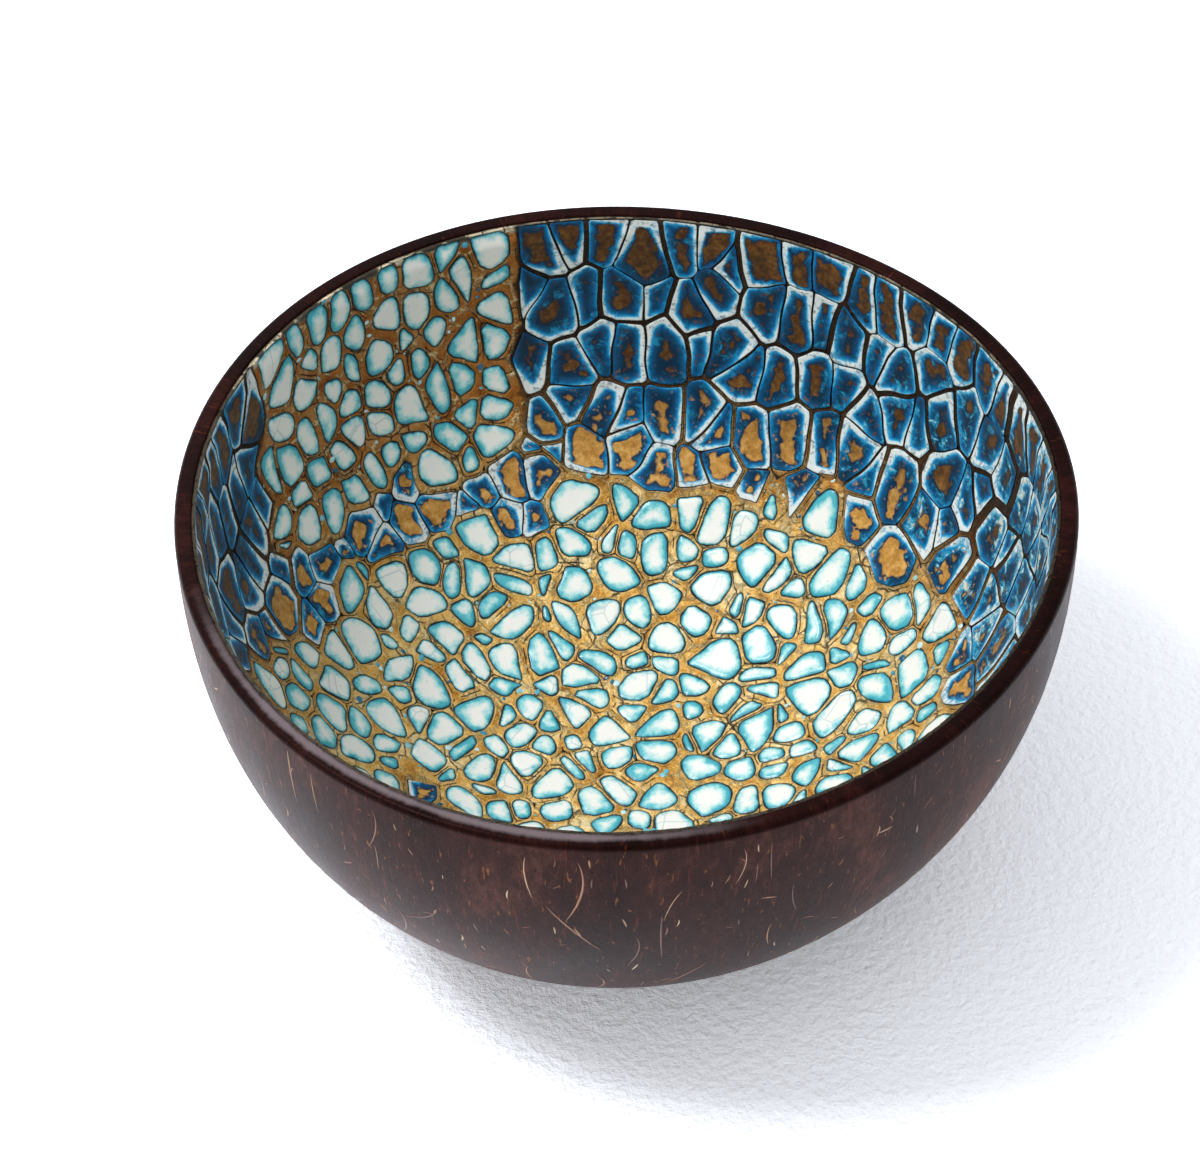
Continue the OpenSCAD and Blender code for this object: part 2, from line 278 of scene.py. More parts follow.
pore_mask = add(tree, "ShaderNodeMapRange", {
    "Value": pores, "From Min": 0.32, "From Max": 0.42, "To Min": 0.7, "To Max": 0},
    interpolation_type="SMOOTHSTEP")
pitted = add(tree, "ShaderNodeMix", {0: pore_mask, 6: scratched, 7: "#100707"}, data_type="RGBA")
# The sawn rim is end grain that took up more oil, and is darker
height = add(tree, "ShaderNodeSeparateXYZ", {0: add(tree, "ShaderNodeTexCoord").outputs["Object"]})
rim_ragged = add(tree, "ShaderNodeMath", {
    0: streaks, 1: 0.0006, 2: height.outputs["Z"]}, operation="MULTIPLY_ADD")
oil_dark_and_sheen = lay_over(
    tree, pitted.outputs[2], "#8a6a6b", rim_ragged, (bowl_h - 0.9) / 1000, (bowl_h - 0.2) / 1000,
    blend="MULTIPLY")
# In front on the left the middle of the rim carries a painted grey sheen, in a band of uneven width
left_front = add(tree, "ShaderNodeVectorMath", {
    0: add(tree, "ShaderNodeTexCoord").outputs["Object"], 1: (-0.5, -0.87, 0)}, operation="DOT_PRODUCT")
painted_sheen_level = add(tree, "ShaderNodeMath", {
    0: clouds, 1: 0.012, 2: left_front.outputs["Value"]}, operation="MULTIPLY_ADD")
painted_sheen_mask = add(tree, "ShaderNodeMapRange", {
    "Value": painted_sheen_level, "From Min": 0.049, "From Max": 0.064, "To Max": 0.85},
    interpolation_type="SMOOTHSTEP")
across_rim = add(tree, "ShaderNodeSeparateXYZ", {0: along})
from_middle = add(tree, "ShaderNodeMath", {
    0: across_rim.outputs["Z"], 1: land_middle}, operation="SUBTRACT")
from_middle = add(tree, "ShaderNodeMath", {0: from_middle}, operation="ABSOLUTE")
from_middle = add(tree, "ShaderNodeMath", {0: tone, 1: -1.6, 2: from_middle}, operation="MULTIPLY_ADD")
on_land = add(tree, "ShaderNodeMapRange", {
    "Value": from_middle, "From Min": -1.15, "From Max": -0.2, "To Min": 1, "To Max": 0},
    interpolation_type="SMOOTHSTEP")
painted_sheen_mask = add(tree, "ShaderNodeMath", {0: painted_sheen_mask, 1: on_land}, operation="MULTIPLY")
oil_dark_and_sheen = add(tree, "ShaderNodeMix", {0: painted_sheen_mask, 6: oil_dark_and_sheen, 7: "#786c71"}, data_type="RGBA")
polish = add(tree, "ShaderNodeMapRange", {
    "Value": clouds, "From Min": 0.3, "From Max": 0.7, "To Min": 0.33, "To Max": 0.46})
relief = add(tree, "ShaderNodeMath", {0: streaks, 1: pore_mask}, operation="SUBTRACT")
bump = add(tree, "ShaderNodeBump", {"Height": relief, "Strength": 0.35, "Distance": 0.0002})
shine = add(tree, "ShaderNodeBsdfPrincipled", {
    "Base Color": oil_dark_and_sheen.outputs[2], "Roughness": polish, "Normal": bump, "Specular IOR Level": 0.07,
    "Specular Tint": "#ffc9c2"})
add(tree, "ShaderNodeOutputMaterial", {"Surface": shine})
outline = bpy.data.meshes.new("shell_section")
outline.from_pydata(
    np.column_stack([section, lengths]) / 1000, [(i, i + 1) for i in range(len(section) - 1)], [])
profile = new_object("shell_section", outline)
bpy.context.view_layer.update()
shell = grown_by(profile, shell_rule(), "coconut_shell_body", polished_shell, {
    "Rings": len(section), "Sectors": sectors, "Flatter": 1 - flat_off / bowl_r,
    "Widest": np.radians(widest), "Radius": bowl_r, "Finish": polished_shell})
bpy.data.objects.remove(profile)
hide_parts("coconut_shell")
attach(shell, "root")

# The husk fibres.
# Hairs of the husk that stayed in the shell, cut flush by the sanding. Most show as flecks a
# millimetre or two long, and some as thin pale or rusty lines, straight or hooked.
# Each kind: how many, the longest, its width, how far they lean from straight up in radians, the seed
fibre_kinds = {"husk_flecks": (520, 2.8, 0.34, 1.5, 5), "husk_fibres": (150, 15, 0.36, 0.7, 9)}
# They keep this far off the rim and the foot, and are pressed to this share of their thickness
off_rim = 3
off_foot = 0.8
fibre_proud = 0.25


def strewn(made, surface, given):
    """Points strewn over a surface: the tree's Count is how many there are in all."""
    face_area = add(made, "GeometryNodeInputMeshFaceArea")
    whole = add(made, "GeometryNodeAttributeStatistic", {
        "Geometry": surface, "Attribute": face_area}, domain="FACE")
    density = add(made, "ShaderNodeMath", {0: given["Count"], 1: whole.outputs["Sum"]}, operation="DIVIDE")
    return add(made, "GeometryNodeDistributePointsOnFaces", {
        "Mesh": surface, "Density": density, "Seed": given["Seed"]}).outputs


def fibre_rule():
    """Scatters bent slivers over the outside of a shell and lays them on it."""
    made, given = new_rule("husk_fibres", {
        "Count": "Int", "Length": "Float", "Width": "Float", "Lean": "Float", "Proud": "Float", "Seed": "Int",
        "Fibre": "Material"})
    place = add(made, "GeometryNodeInputPosition")
    facing = add(made, "GeometryNodeInputNormal")
    apart = add(made, "ShaderNodeSeparateXYZ", {0: place})
    below_rim = add(made, "FunctionNodeCompare", {
        0: apart.outputs["Z"], 1: (bowl_h - off_rim) / 1000}, operation="LESS_THAN")
    above_foot = add(made, "FunctionNodeCompare", {
        0: apart.outputs["Z"], 1: off_foot / 1000}, operation="GREATER_THAN")
    centred = add(made, "ShaderNodeVectorMath", {0: place, 1: (0, 0, bowl_h / 1000)}, operation="SUBTRACT")
    outward = add(made, "ShaderNodeVectorMath", {0: facing, 1: centred}, operation="DOT_PRODUCT")
    outside = add(made, "FunctionNodeCompare", {
        0: outward.outputs["Value"], 1: 0.0}, operation="GREATER_THAN")
    there = add(made, "FunctionNodeBooleanMath", {0: below_rim, 1: outside}, operation="AND")
    there = add(made, "FunctionNodeBooleanMath", {0: there, 1: above_foot}, operation="AND")
    only_outside = add(made, "GeometryNodeSeparateGeometry", {
        "Geometry": given["Geometry"], "Selection": there}, domain="FACE")
    roots = strewn(made, only_outside, given)
    slivers = add(made, "GeometryNodeJoinGeometry")
    thin = add(made, "GeometryNodeCurvePrimitiveCircle", {"Resolution": 4, "Radius": 0.7})
    slender = add(made, "ShaderNodeMath", {0: given["Width"], 1: given["Length"]}, operation="DIVIDE")
    for hook in (0.02, -0.04, 0.08, -0.15):
        hair = add(made, "GeometryNodeCurveQuadraticBezier", {
            "Resolution": 8, "Start": (-0.5, 0, 0), "Middle": (0.1, hook * 2, 0), "End": (0.5, hook, 0)})
        how_far = add(made, "GeometryNodeSplineParameter")
        taper = add(made, "ShaderNodeMath", {0: how_far.outputs["Factor"], 1: 0.5}, operation="PINGPONG")
        taper = add(made, "ShaderNodeMath", {0: taper, 1: 0.5}, operation="POWER")
        thickness = add(made, "ShaderNodeMath", {0: taper, 1: slender}, operation="MULTIPLY")
        tube = add(made, "GeometryNodeCurveToMesh", {
            "Curve": hair, "Profile Curve": thin, "Scale": thickness, "Fill Caps": True})
        single = add(made, "GeometryNodeGeometryToInstance", {0: tube})
        made.links.new(single.outputs[0], slivers.inputs[0])
    # A fibre lies roughly along the shell from rim to foot, and a few lie across
    lean = add(made, "FunctionNodeRandomValue", {2: -1.0, 3: 1.0, "Seed": 11}, data_type="FLOAT")
    cubed = add(made, "ShaderNodeMath", {0: lean.outputs[1], 1: 3.0}, operation="POWER")
    turn = add(made, "ShaderNodeMath", {0: cubed, 1: given["Lean"]}, operation="MULTIPLY")
    lay = add(made, "FunctionNodeAlignRotationToVector", {"Vector": roots["Normal"]}, axis="Z")
    upward = add(made, "FunctionNodeAlignRotationToVector", {
        "Rotation": lay, "Vector": (0, 0, 1)}, axis="X", pivot_axis="Z")
    spin = add(made, "FunctionNodeAxisAngleToRotation", {"Axis": (0, 0, 1), "Angle": turn})
    turned = add(made, "FunctionNodeRotateRotation", {
        "Rotation": upward, "Rotate By": spin}, rotation_space="LOCAL")
    pick = add(made, "FunctionNodeRandomValue", {4: 0, 5: 3, "Seed": 12}, data_type="INT")
    size = add(made, "FunctionNodeRandomValue", {2: 0.5, 3: 1.0, "Seed": 13}, data_type="FLOAT")
    size = add(made, "ShaderNodeMath", {0: size.outputs[1], 1: 2.0}, operation="POWER")
    reach = add(made, "ShaderNodeMath", {0: size, 1: given["Length"]}, operation="MULTIPLY")
    laid = add(made, "GeometryNodeInstanceOnPoints", {
        "Points": roots["Points"], "Instance": slivers, "Pick Instance": True,
        "Instance Index": pick.outputs[2], "Rotation": turned, "Scale": reach})
    shade = add(made, "FunctionNodeRandomValue", {2: 0.0, 3: 1.0, "Seed": 14}, data_type="FLOAT")
    marked = add(made, "GeometryNodeStoreNamedAttribute", {
        "Geometry": laid, "Name": "shade", "Value": shade.outputs[1]}, data_type="FLOAT", domain="INSTANCE")
    real = add(made, "GeometryNodeRealizeInstances", {0: marked})
    # Each point is drawn to the shell, so that a sliver follows its curve and lies flush in it
    nearest = add(made, "GeometryNodeProximity", {"Geometry": only_outside}, target_element="FACES")
    out = add(made, "ShaderNodeVectorMath", {
        0: place, 1: nearest.outputs["Position"]}, operation="SUBTRACT")
    flat = add(made, "ShaderNodeVectorMath", {0: out, "Scale": given["Proud"]}, operation="SCALE")
    put = add(made, "ShaderNodeVectorMath", {0: nearest.outputs["Position"], 1: flat}, operation="ADD")
    settled = add(made, "GeometryNodeSetPosition", {"Geometry": real, "Position": put})
    painted = add(made, "GeometryNodeSetMaterial", {"Geometry": settled, "Material": given["Fibre"]})
    add(made, "NodeGroupOutput", {0: painted})
    return made


# Husk fibre: straw to rust, a dry fibre under the oil.
husk_fibre, tree = new_finish("coconut_husk_fibre")
shade = add(tree, "ShaderNodeAttribute", attribute_name="shade").outputs["Fac"]
straw = add(tree, "ShaderNodeValToRGB", {"Fac": shade}, stops=[
    (0, "#5c2e20"), (0.4, "#8a523a"), (0.75, "#bf8d63"), (1, "#ecd6b4")])
shine = add(tree, "ShaderNodeBsdfPrincipled", {
    "Base Color": straw, "Roughness": 0.5, "Coat Weight": 0.3, "Coat Roughness": 0.25})
add(tree, "ShaderNodeOutputMaterial", {"Surface": shine})
bpy.context.view_layer.update()
scatter = fibre_rule()
for name, (count, length, width, lean, seed) in fibre_kinds.items():
    fibres = grown_by(shell, scatter, name, husk_fibre, {
        "Count": count, "Length": length / 1000, "Width": width / 1000, "Lean": lean, "Proud": fibre_proud,
        "Seed": seed, "Fibre": husk_fibre})
    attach(fibres, "root")

# The chips' places.
# The pieces of eggshell lie where the frame has them. Each is read from its node as a flat
# outline on a map of the bed, where the distance from the middle is the length up the bowl.
ground_t = 0.6
bond_gap = 0.02
bed_r = bowl_r - rim_wall - bond_gap - ground_t
bed_h = belt_z - floor_wall - bond_gap - ground_t
ground_top = 1000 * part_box("lacquer_ground")[1][2]
bed_line = bowl_curve(bed_r, bed_h, np.linspace(0, angle_at(bed_h, ground_top), 2001))
bed_along = np.concatenate([[0], np.cumsum(np.hypot(*np.diff(bed_line, axis=0).T))])
bed_tangent = np.gradient(bed_line, bed_along, axis=0)
bed_facing = np.arctan2(bed_line[:, 0], belt_z - bed_line[:, 1])
map_r = bed_along[-1]
# The share of its thickness that the whole lining loses between these lengths below the rim
rim_thinning = 0.5
thins_from = 3
thins_to = 0.4
# How far from a chip it is looked for, in cells of this size, and the distance of what is further
longest_reach = 2.2
cell_size = 5
far_off = 9.0


def smooth(value, low, high):
    """Smooth step from 0 at low to 1 at high."""
    share = np.clip((value - low) / (high - low), 0, 1)
    return share * share * (3 - 2 * share)


def widening(along):
    """How many times wider the map is than the bowl at a length along it."""
    return np.where(along < 1, 1, along / np.interp(np.maximum(along, 1), bed_along, bed_line[:, 0]))


def on_bowl(places, heights):
    """Points in space of places on the map, at heights over the bed."""
    along = np.hypot(places[:, 0], places[:, 1])
    angle = np.arctan2(places[:, 1], places[:, 0])
    out, up = (np.interp(along, bed_along, bed_tangent[:, i]) for i in (0, 1))
    size = np.hypot(out, up)
    left = 1 - rim_thinning * smooth(along, map_r - thins_from, map_r - thins_to)
    heights = (heights + ground_t) * left - ground_t
    radius = (np.interp(along, bed_along, bed_line[:, 0]) - heights * up / size) * nut_share(angle)
    height = np.interp(along, bed_along, bed_line[:, 1]) + heights * out / size
    return np.stack([radius * np.cos(angle), radius * np.sin(angle), height], 1)


def on_map(points):
    """Places on the map of points near the bed."""
    facing = np.arctan2(np.hypot(points[:, 0], points[:, 1]), belt_z - points[:, 2])
    along = np.interp(facing, bed_facing, bed_along)
    return along[:, None] * circle(np.arctan2(points[:, 1], points[:, 0]))


# How many waves a ripple is the sum of
ripple_waves = 10


def ripple(places, size, seed):
    """Smooth random values from -1 to 1 over the map, with waves of about this size."""
    draw = np.random.default_rng(seed)
    total = np.zeros(len(places))
    for _ in range(ripple_waves):
        turn = draw.uniform(0, 2 * np.pi)
        wave = 2 * np.pi / (size * draw.uniform(0.6, 1.6))
        across = places[:, 0] * np.cos(turn) + places[:, 1] * np.sin(turn)
        total += np.sin(wave * across + draw.uniform(0, 6.28))
    return 2 * total / ripple_waves


def bent(places):
    """The map with a slow bend, so that the edges of the chips curve a little; it dies out at the rim."""
    along = np.hypot(*places.T)
    size = bend * (1 - smooth(along, map_r - bend_from, map_r - bend_to))
    return places + size[:, None] * np.stack([ripple(places, bend_size, seed) for seed in (61, 62)], 1)


class Chip:
    """A chip's outline round its middle: x runs up the bowl and y round it, in true millimetres."""

    def __init__(self, corners):
        self.lay(on_map(corners))
        turn = np.arctan2(self.outline[:, 1], self.outline[:, 0])
        self.outline = self.outline[np.argsort(turn)]

    def lay(self, places):
        """Takes places on the map as the chip's outline. From them come its middle, the way out of it
        at each point, and how far from the middle a place is near enough to be measured."""
        self.middle = places.mean(0)
        along = np.hypot(*self.middle)
        self.up = self.middle / along
        self.across = np.array([-self.up[1], self.up[0]])
        self.wide = float(widening(along))
        self.outline = self.local(places)
        side = np.roll(self.outline, -1, 0) - np.roll(self.outline, 1, 0)
        self.out = np.stack([side[:, 1], -side[:, 0]], 1) / np.hypot(*side.T)[:, None]
        self.reach = np.abs(places - self.middle).max(0) + (longest_reach + 0.5) * self.wide

    def local(self, places):
        """Places on the map, as the chip sees them."""
        step = places - self.middle
        return np.stack([step @ self.up, step @ self.across / self.wide], 1)

    def placed(self, flat):
        """Places on the map of points in the chip's own plane."""
        return self.middle + np.outer(flat[:, 0], self.up) + np.outer(flat[:, 1] * self.wide, self.across)


def islands(node):
    """The corners of each separate solid of a CAD node, from a merged copy."""
    work = bmesh.new()
    work.from_mesh(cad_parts[node].data)
    bmesh.ops.remove_doubles(work, verts=work.verts, dist=1e-6)
    seen = set()
    found = []
    for first in work.verts:
        if first in seen:
            continue
        seen.add(first)
        group = [first]
        for vertex in group:
            for link in vertex.link_edges:
                other = link.other_vert(vertex)
                if other not in seen:
                    seen.add(other)
                    group.append(other)
        found.append(1000 * np.array([v.co for v in group]))
    work.free()
    return found


def chip_from(points):
    """A chip from the points of a flat plate: one corner from each pair, above and below."""
    middle = points.mean(0)
    axes = np.linalg.svd(points - middle)[2]
    flat = (points - middle) @ axes[:2].T
    corners = np.unique(np.round(flat, 2), axis=0)
    return Chip(middle + corners @ axes[:2])


def even_outline(outline, count, softness, wobble, seed):
    """The outline as so many even points, with its corners rounded and its sides a little uneven."""
    closed = np.vstack([outline, outline[:1]])
    steps = np.concatenate([[0], np.cumsum(np.hypot(*np.diff(closed, axis=0).T))])
    where = np.linspace(0, steps[-1], count, endpoint=False)
    even = np.stack([np.interp(where, steps, closed[:, i]) for i in (0, 1)], 1)
    spacing = steps[-1] / count
    waves = np.fft.fftfreq(count)
    smoothing = np.exp(-2 * (np.pi * waves * softness / spacing) ** 2)
    even = np.stack([np.fft.ifft(np.fft.fft(even[:, i]) * smoothing).real for i in (0, 1)], 1)
    draw = np.random.default_rng(seed)
    uneven = np.fft.ifft(np.fft.fft(draw.normal(size=count)) * np.exp(-(waves * 9) ** 2)).real
    return even * (1 + (wobble * uneven / (np.std(uneven) * np.hypot(*even.T).mean()))[:, None])


def signed_distance(points, outline):
    """Distance of points from an outline: negative inside it."""
    start, end = outline, np.roll(outline, -1, 0)
    side = end - start
    step = points[:, None] - start[None]
    share = np.clip((step * side).sum(2) / (side ** 2).sum(1), 0, 1)
    off = step - share[..., None] * side
    far = np.sqrt((off ** 2).sum(2)).min(1)
    level = (start[None, :, 1] > points[:, None, 1]) != (end[None, :, 1] > points[:, None, 1])
    with np.errstate(divide="ignore", invalid="ignore"):
        cross = start[:, 0] + side[:, 0] * (points[:, None, 1] - start[:, 1]) / side[:, 1]
    inside = (level & (points[:, None, 0] < cross)).sum(1) % 2 == 1
    return np.where(inside, -far, far)


pale_nodes = ["pale_floor_tesserae", "pale_wall_tesserae", "pale_front_tesserae"]
blue_nodes = ["blue_back_tesserae", "blue_right_tesserae", "blue_left_tesserae", "blue_band_tesserae",
              "blue_front_tesserae"]
# Points round a chip, how far its corners are rounded, and how uneven its sides are
pale_make = (36, (0.06, 0.38), 0.05)
blue_make = (44, (0.1, 0.22), 0.03)
# How much a chip is larger than its plate: between blue chips only hairlines stay open
pale_growth = 0.16
blue_growth = 0.17
# The last chips reach further up, to the gold line at the rim: all of it is gained in this strip
rim_push = 0.4
push_from = 2.5
push_to = 1
# The slow bend of the layout, how far apart its waves are, and between which lengths it dies out
bend = 0.55
bend_size = 11
bend_from = 8
bend_to = 3
chips = {}
draws = np.random.default_rng(17)
for node in pale_nodes + blue_nodes:
    blue = node in blue_nodes
    count, softness, wobble = blue_make if blue else pale_make
    chips[node] = []
    for number, points in enumerate(islands(node)):
        chip = chip_from(points)
        growth = blue_growth if blue else pale_growth
        chip.outline = chip.outline * (1 + growth / np.hypot(*chip.outline.T)[:, None])
        chip.outline = even_outline(chip.outline, count, draws.uniform(*softness), wobble, number)
        edge = bent(chip.placed(chip.outline))
        along = np.hypot(*edge.T)
        push = rim_push * smooth(along, map_r - push_from, map_r - push_to)
        chip.lay(edge * (1 + push / along)[:, None])
        chip.blue = blue
        # The lacquer's crack passes close to some chips and leaves others a margin of gold
        chip.margin = 0 if blue else draws.choice([0, 0.3, 0.6])
        chips[node].append(chip)
all_chips = [chip for group in chips.values() for chip in group]


def distances(places, skip=None):
    """Distance of places on the map from the nearest chip, its number, and that to the crack."""
    best, nearest, second = (np.full(len(places), far_off) for _ in range(3))
    owner = np.full(len(places), -1)
    cell = np.floor(places / cell_size).astype(int)
    order = np.lexsort((cell[:, 1], cell[:, 0]))
    breaks = np.flatnonzero(np.abs(np.diff(cell[order], axis=0)).any(1)) + 1
    held = {tuple(cell[group[0]]): group for group in np.split(order, breaks)}
    for number, chip in enumerate(all_chips):
        low = np.floor((chip.middle - chip.reach) / cell_size).astype(int)
        high = np.floor((chip.middle + chip.reach) / cell_size).astype(int)
        around = [held[i, j] for i in range(low[0], high[0] + 1) for j in range(low[1], high[1] + 1)
                  if (i, j) in held]
        if not around:
            continue
        near = np.concatenate(around)
        if skip is not None:
            near = near[skip[near] != number]
        step = chip.local(places[near])
        beside = (np.abs(step) < np.abs(chip.outline).max(0) + longest_reach + 0.5).all(1)
        near, step = near[beside], step[beside]
        if len(near) == 0:
            continue
        far = signed_distance(step, chip.outline)
        weighed = far - chip.margin
        closer = weighed < nearest[near]
        second[near] = np.where(closer, nearest[near], np.minimum(second[near], weighed))
        nearest[near] = np.where(closer, weighed, nearest[near])
        owner[near] = np.where(closer, number, owner[near])
        best[near] = np.minimum(best[near], far)
    return best, owner, nearest, (second - nearest) / 2


def rays_from(numbers):
    """Rays that leave the outlines of these chips: where they start, a step along each, and the owner."""
    starts, rays, owners = [], [], []
    for number in numbers:
        chip = all_chips[number]
        base = chip.placed(chip.outline)
        starts.append(base)
        rays.append(chip.placed(chip.outline + chip.out) - base)
        owners.append(np.full(len(base), number))
    return np.concatenate(starts), np.concatenate(rays), np.concatenate(owners)


def reach_of(starts, rays, owners):
    """How far each ray goes until it is as near to another chip as to its own."""
    margins = np.array([chip.margin for chip in all_chips])[owners]
    low, high = np.zeros(len(starts)), np.full(len(starts), longest_reach)
    for _ in range(9):
        middle = (low + high) / 2
        other = distances(starts + rays * middle[:, None], skip=owners)[2]
        mine = middle - margins < other
        low, high = np.where(mine, middle, low), np.where(mine, high, middle)
    return low


# The band was laid with larger pieces, so each of its chips is widened into the gold round it,
# by this much at most, and stops this far from the middle of the crack
band_widening = 1.3
band_gap = 0.07
band = [number for number, chip in enumerate(all_chips) if chip in chips["blue_band_tesserae"]]
starts, rays, owners = rays_from(band)
free = np.clip(reach_of(starts, rays, owners) - band_gap, 0, band_widening)
for number in band:
    chip = all_chips[number]
    wider = free[owners == number]
    wider = np.minimum(wider, (np.roll(wider, 1) + wider + np.roll(wider, -1)) / 3)
    chip.lay(chip.placed(chip.outline + chip.out * wider[:, None]))

# The gold lacquer.
# Layers of lacquer with bronze powder, laid on the shell, in which the chips are bedded. It stands
# up between them in rounded lines, and it is cracked where the eggshell broke under the roller.
# Heights over the bed: under a chip, in a crack, beside a chip, and on top of a line
under_height = 0.0
crack_height = 0.16
shore_height = 0.34
line_height = 0.52
# The mesh has points this far outside and inside each chip's edge
beside_chip = 0.015
under_chip = 0.12
# At the rim it ends in two rings of so many points, this far apart, and no others come this near
edge_count = 600
edge_inset = 0.2
edge_strip = 0.25
# The underside is made of this many rings
under_rings = 19


def new_piece(name, points, triangles, values):
    """A smooth mesh object from points in millimetres, with named values at its points."""
    mesh = bpy.data.meshes.new(name)
    mesh.vertices.add(len(points))
    mesh.vertices.foreach_set("co", np.ravel(np.asarray(points) / 1000))
    corners = np.ravel(triangles).astype(np.int32)
    mesh.loops.add(len(corners))
    mesh.loops.foreach_set("vertex_index", corners)
    mesh.polygons.add(len(corners) // 3)
    mesh.polygons.foreach_set("loop_start", np.arange(0, len(corners), 3, dtype=np.int32))
    for key, data in values.items():
        mesh.attributes.new(key, "FLOAT", "POINT").data.foreach_set("value", data)
    mesh.update(calc_edges=True)
    mesh.validate()
    mesh.shade_smooth()
    return new_object(name, mesh)


def strip(first, second):
    """Triangles between two closed rings of point numbers."""
    after_first, after_second = np.roll(first, -1), np.roll(second, -1)
    lower = np.stack([first, after_first, after_second], 1)
    upper = np.stack([first, after_second, second], 1)
    return np.concatenate([lower, upper])


# Rays leave each chip's outline and end at the crack between it and its neighbour
starts, rays, owners = rays_from(range(len(all_chips)))
reach = reach_of(starts, rays, owners)
keep_in = map_r - edge_strip
ends = starts + rays * reach[:, None]
facing = distances(ends, skip=owners)[1]
# A crack is drawn once, from the side of the chip that comes first, and its points are joined
drawn = (owners < facing) & (reach < longest_reach - 0.1) & (np.hypot(*ends.T) < keep_in)
place_of = np.cumsum(drawn) - 1
joined = drawn[:-1] & drawn[1:] & (owners[:-1] == owners[1:]) & (facing[:-1] == facing[1:])
lines = [(int(place_of[i]), int(place_of[i + 1])) for i in np.flatnonzero(joined)]
every = np.arange(len(starts))
others = [starts + rays * beside_chip, (starts - rays * under_chip)[every % 2 == 0]]
# Points on the way to the crack: at this share of it, where it is this far off, on one ray in so many
for share, least, part in ((0.5, 0.3, 1), (0.8, 0.9, 2), (0.25, 0.9, 2)):
    chosen = (reach > least) & (every % part == 0)
    others.append(starts[chosen] + rays[chosen] * (reach[chosen] * share)[:, None])
others = np.concatenate(others)
others = others[np.hypot(*others.T) < keep_in]
edge_circle = circle(np.linspace(0, 2 * np.pi, edge_count, endpoint=False))
edge_rings = [along * edge_circle for along in (map_r - edge_inset, map_r)]
seeds = np.concatenate([ends[drawn], others] + edge_rings)
meshed = delaunay_2d_cdt([Vector(p) for p in seeds], lines, [], 0, 0.02)
places = np.array([tuple(v) for v in meshed[0]])
faces = np.array([f for f in meshed[2] if len(f) == 3])
shore, owner, _, crack = distances(places)
in_blue = np.array([chip.blue for chip in all_chips] + [False])[owner].astype(float)
# Between blue chips every crack is open; between pale chips the lacquer has closed some of them
opened = np.maximum(in_blue, smooth(ripple(places, 13, 5), -0.15, 0.15) * (1 - smooth(shore, 0.75, 1.1)))
# A line rises from the chips, with small waves on it, and falls into a crack that is open
heights = shore_height + (line_height - shore_height) * smooth(shore, 0.02, 0.3)
heights += 0.05 * ripple(places, 1.6, 3) * smooth(shore, 0.1, 0.4)
heights -= (heights - crack_height) * opened * (1 - smooth(crack, 0.02, 0.16))
heights = np.where(shore < -0.03, under_height, heights)
# The lining's upper edge was cut by hand, and is a little ragged
along = np.hypot(*places.T)
ragged = 0.12 * ripple(places, 2.2, 8) * (along > map_r - 0.3)
top = on_bowl(places, heights + ragged)
top[:, 2] = np.minimum(top[:, 2], ground_top)

# The underside lies on the shell, and closes the layer
turns = np.arctan2(places[:, 1], places[:, 0])
edge = np.flatnonzero(along > map_r - 1e-3)
edge = edge[np.argsort(turns[edge])]
edge_circle = circle(turns[edge])
under_points, under_faces = [], []
base = len(top)
ring_before = first_ring = None
for share in np.linspace(0, 1, under_rings + 1)[1:]:
    under_points.append(on_bowl(share * map_r * edge_circle, np.full(len(edge), -ground_t)))
    ring = base + np.arange(len(edge))
    base += len(edge)
    if ring_before is None:
        first_ring = ring
    else:
        under_faces.append(strip(ring, ring_before))
    ring_before = ring
under_points.append(on_bowl(np.zeros((1, 2)), np.array([-ground_t])))
under_faces.append(np.stack([np.roll(first_ring, -1), first_ring, np.full(len(edge), base)], 1))
under_faces.append(strip(edge, ring_before))
lacquer_points = np.concatenate([top] + under_points)
lacquer_points[:, 2] = np.minimum(lacquer_points[:, 2], ground_top)
filled = np.zeros(len(lacquer_points) - len(top))
lacquer = new_piece("gold_lacquer", lacquer_points, np.concatenate([faces] + under_faces), {
    "shore": np.concatenate([shore, filled]), "crack": np.concatenate([crack + 0.5 * (1 - opened), filled]),
    "in_blue": np.concatenate([in_blue, filled])})

# Gold lacquer: bronze powder in brown lacquer, brushed and rubbed. The lips of the lines and the folds carry
# painted highlights, up the wall it is darkened by painted shade, the cracks hold dark lacquer, and a clear
# coat lies over all of it.
gold_finish, tree = new_finish("bronze_powder_lacquer")
body = add(tree, "ShaderNodeTexCoord").outputs["Object"]
patches = add(tree, "ShaderNodeTexNoise", {"Vector": body, "Scale": per(5), "Detail": 4, "Roughness": 0.6})
powder = add(tree, "ShaderNodeTexNoise", {
    "Vector": body, "Scale": per(0.35), "Detail": 3, "Roughness": 0.7})
brushed = add(tree, "ShaderNodeTexNoise", {
    "Vector": body, "Scale": per(1.1), "Detail": 4, "Roughness": 0.6, "Distortion": 1.2})
mixed = add(tree, "ShaderNodeMath", {0: powder, 1: 0.45, 2: patches}, operation="MULTIPLY_ADD")
gold = add(tree, "ShaderNodeValToRGB", {"Fac": mixed}, stops=[
    (0.5, "#8e5a1e"), (0.62, "#cf963e"), (0.74, "#ecbd68"), (0.9, "#fbe4ae")])
to_crack = add(tree, "ShaderNodeAttribute", attribute_name="crack").outputs["Fac"]
to_shore = add(tree, "ShaderNodeAttribute", attribute_name="shore").outputs["Fac"]
crack_edge = add(tree, "ShaderNodeMath", {0: powder, 1: 0.06, 2: to_crack}, operation="MULTIPLY_ADD")
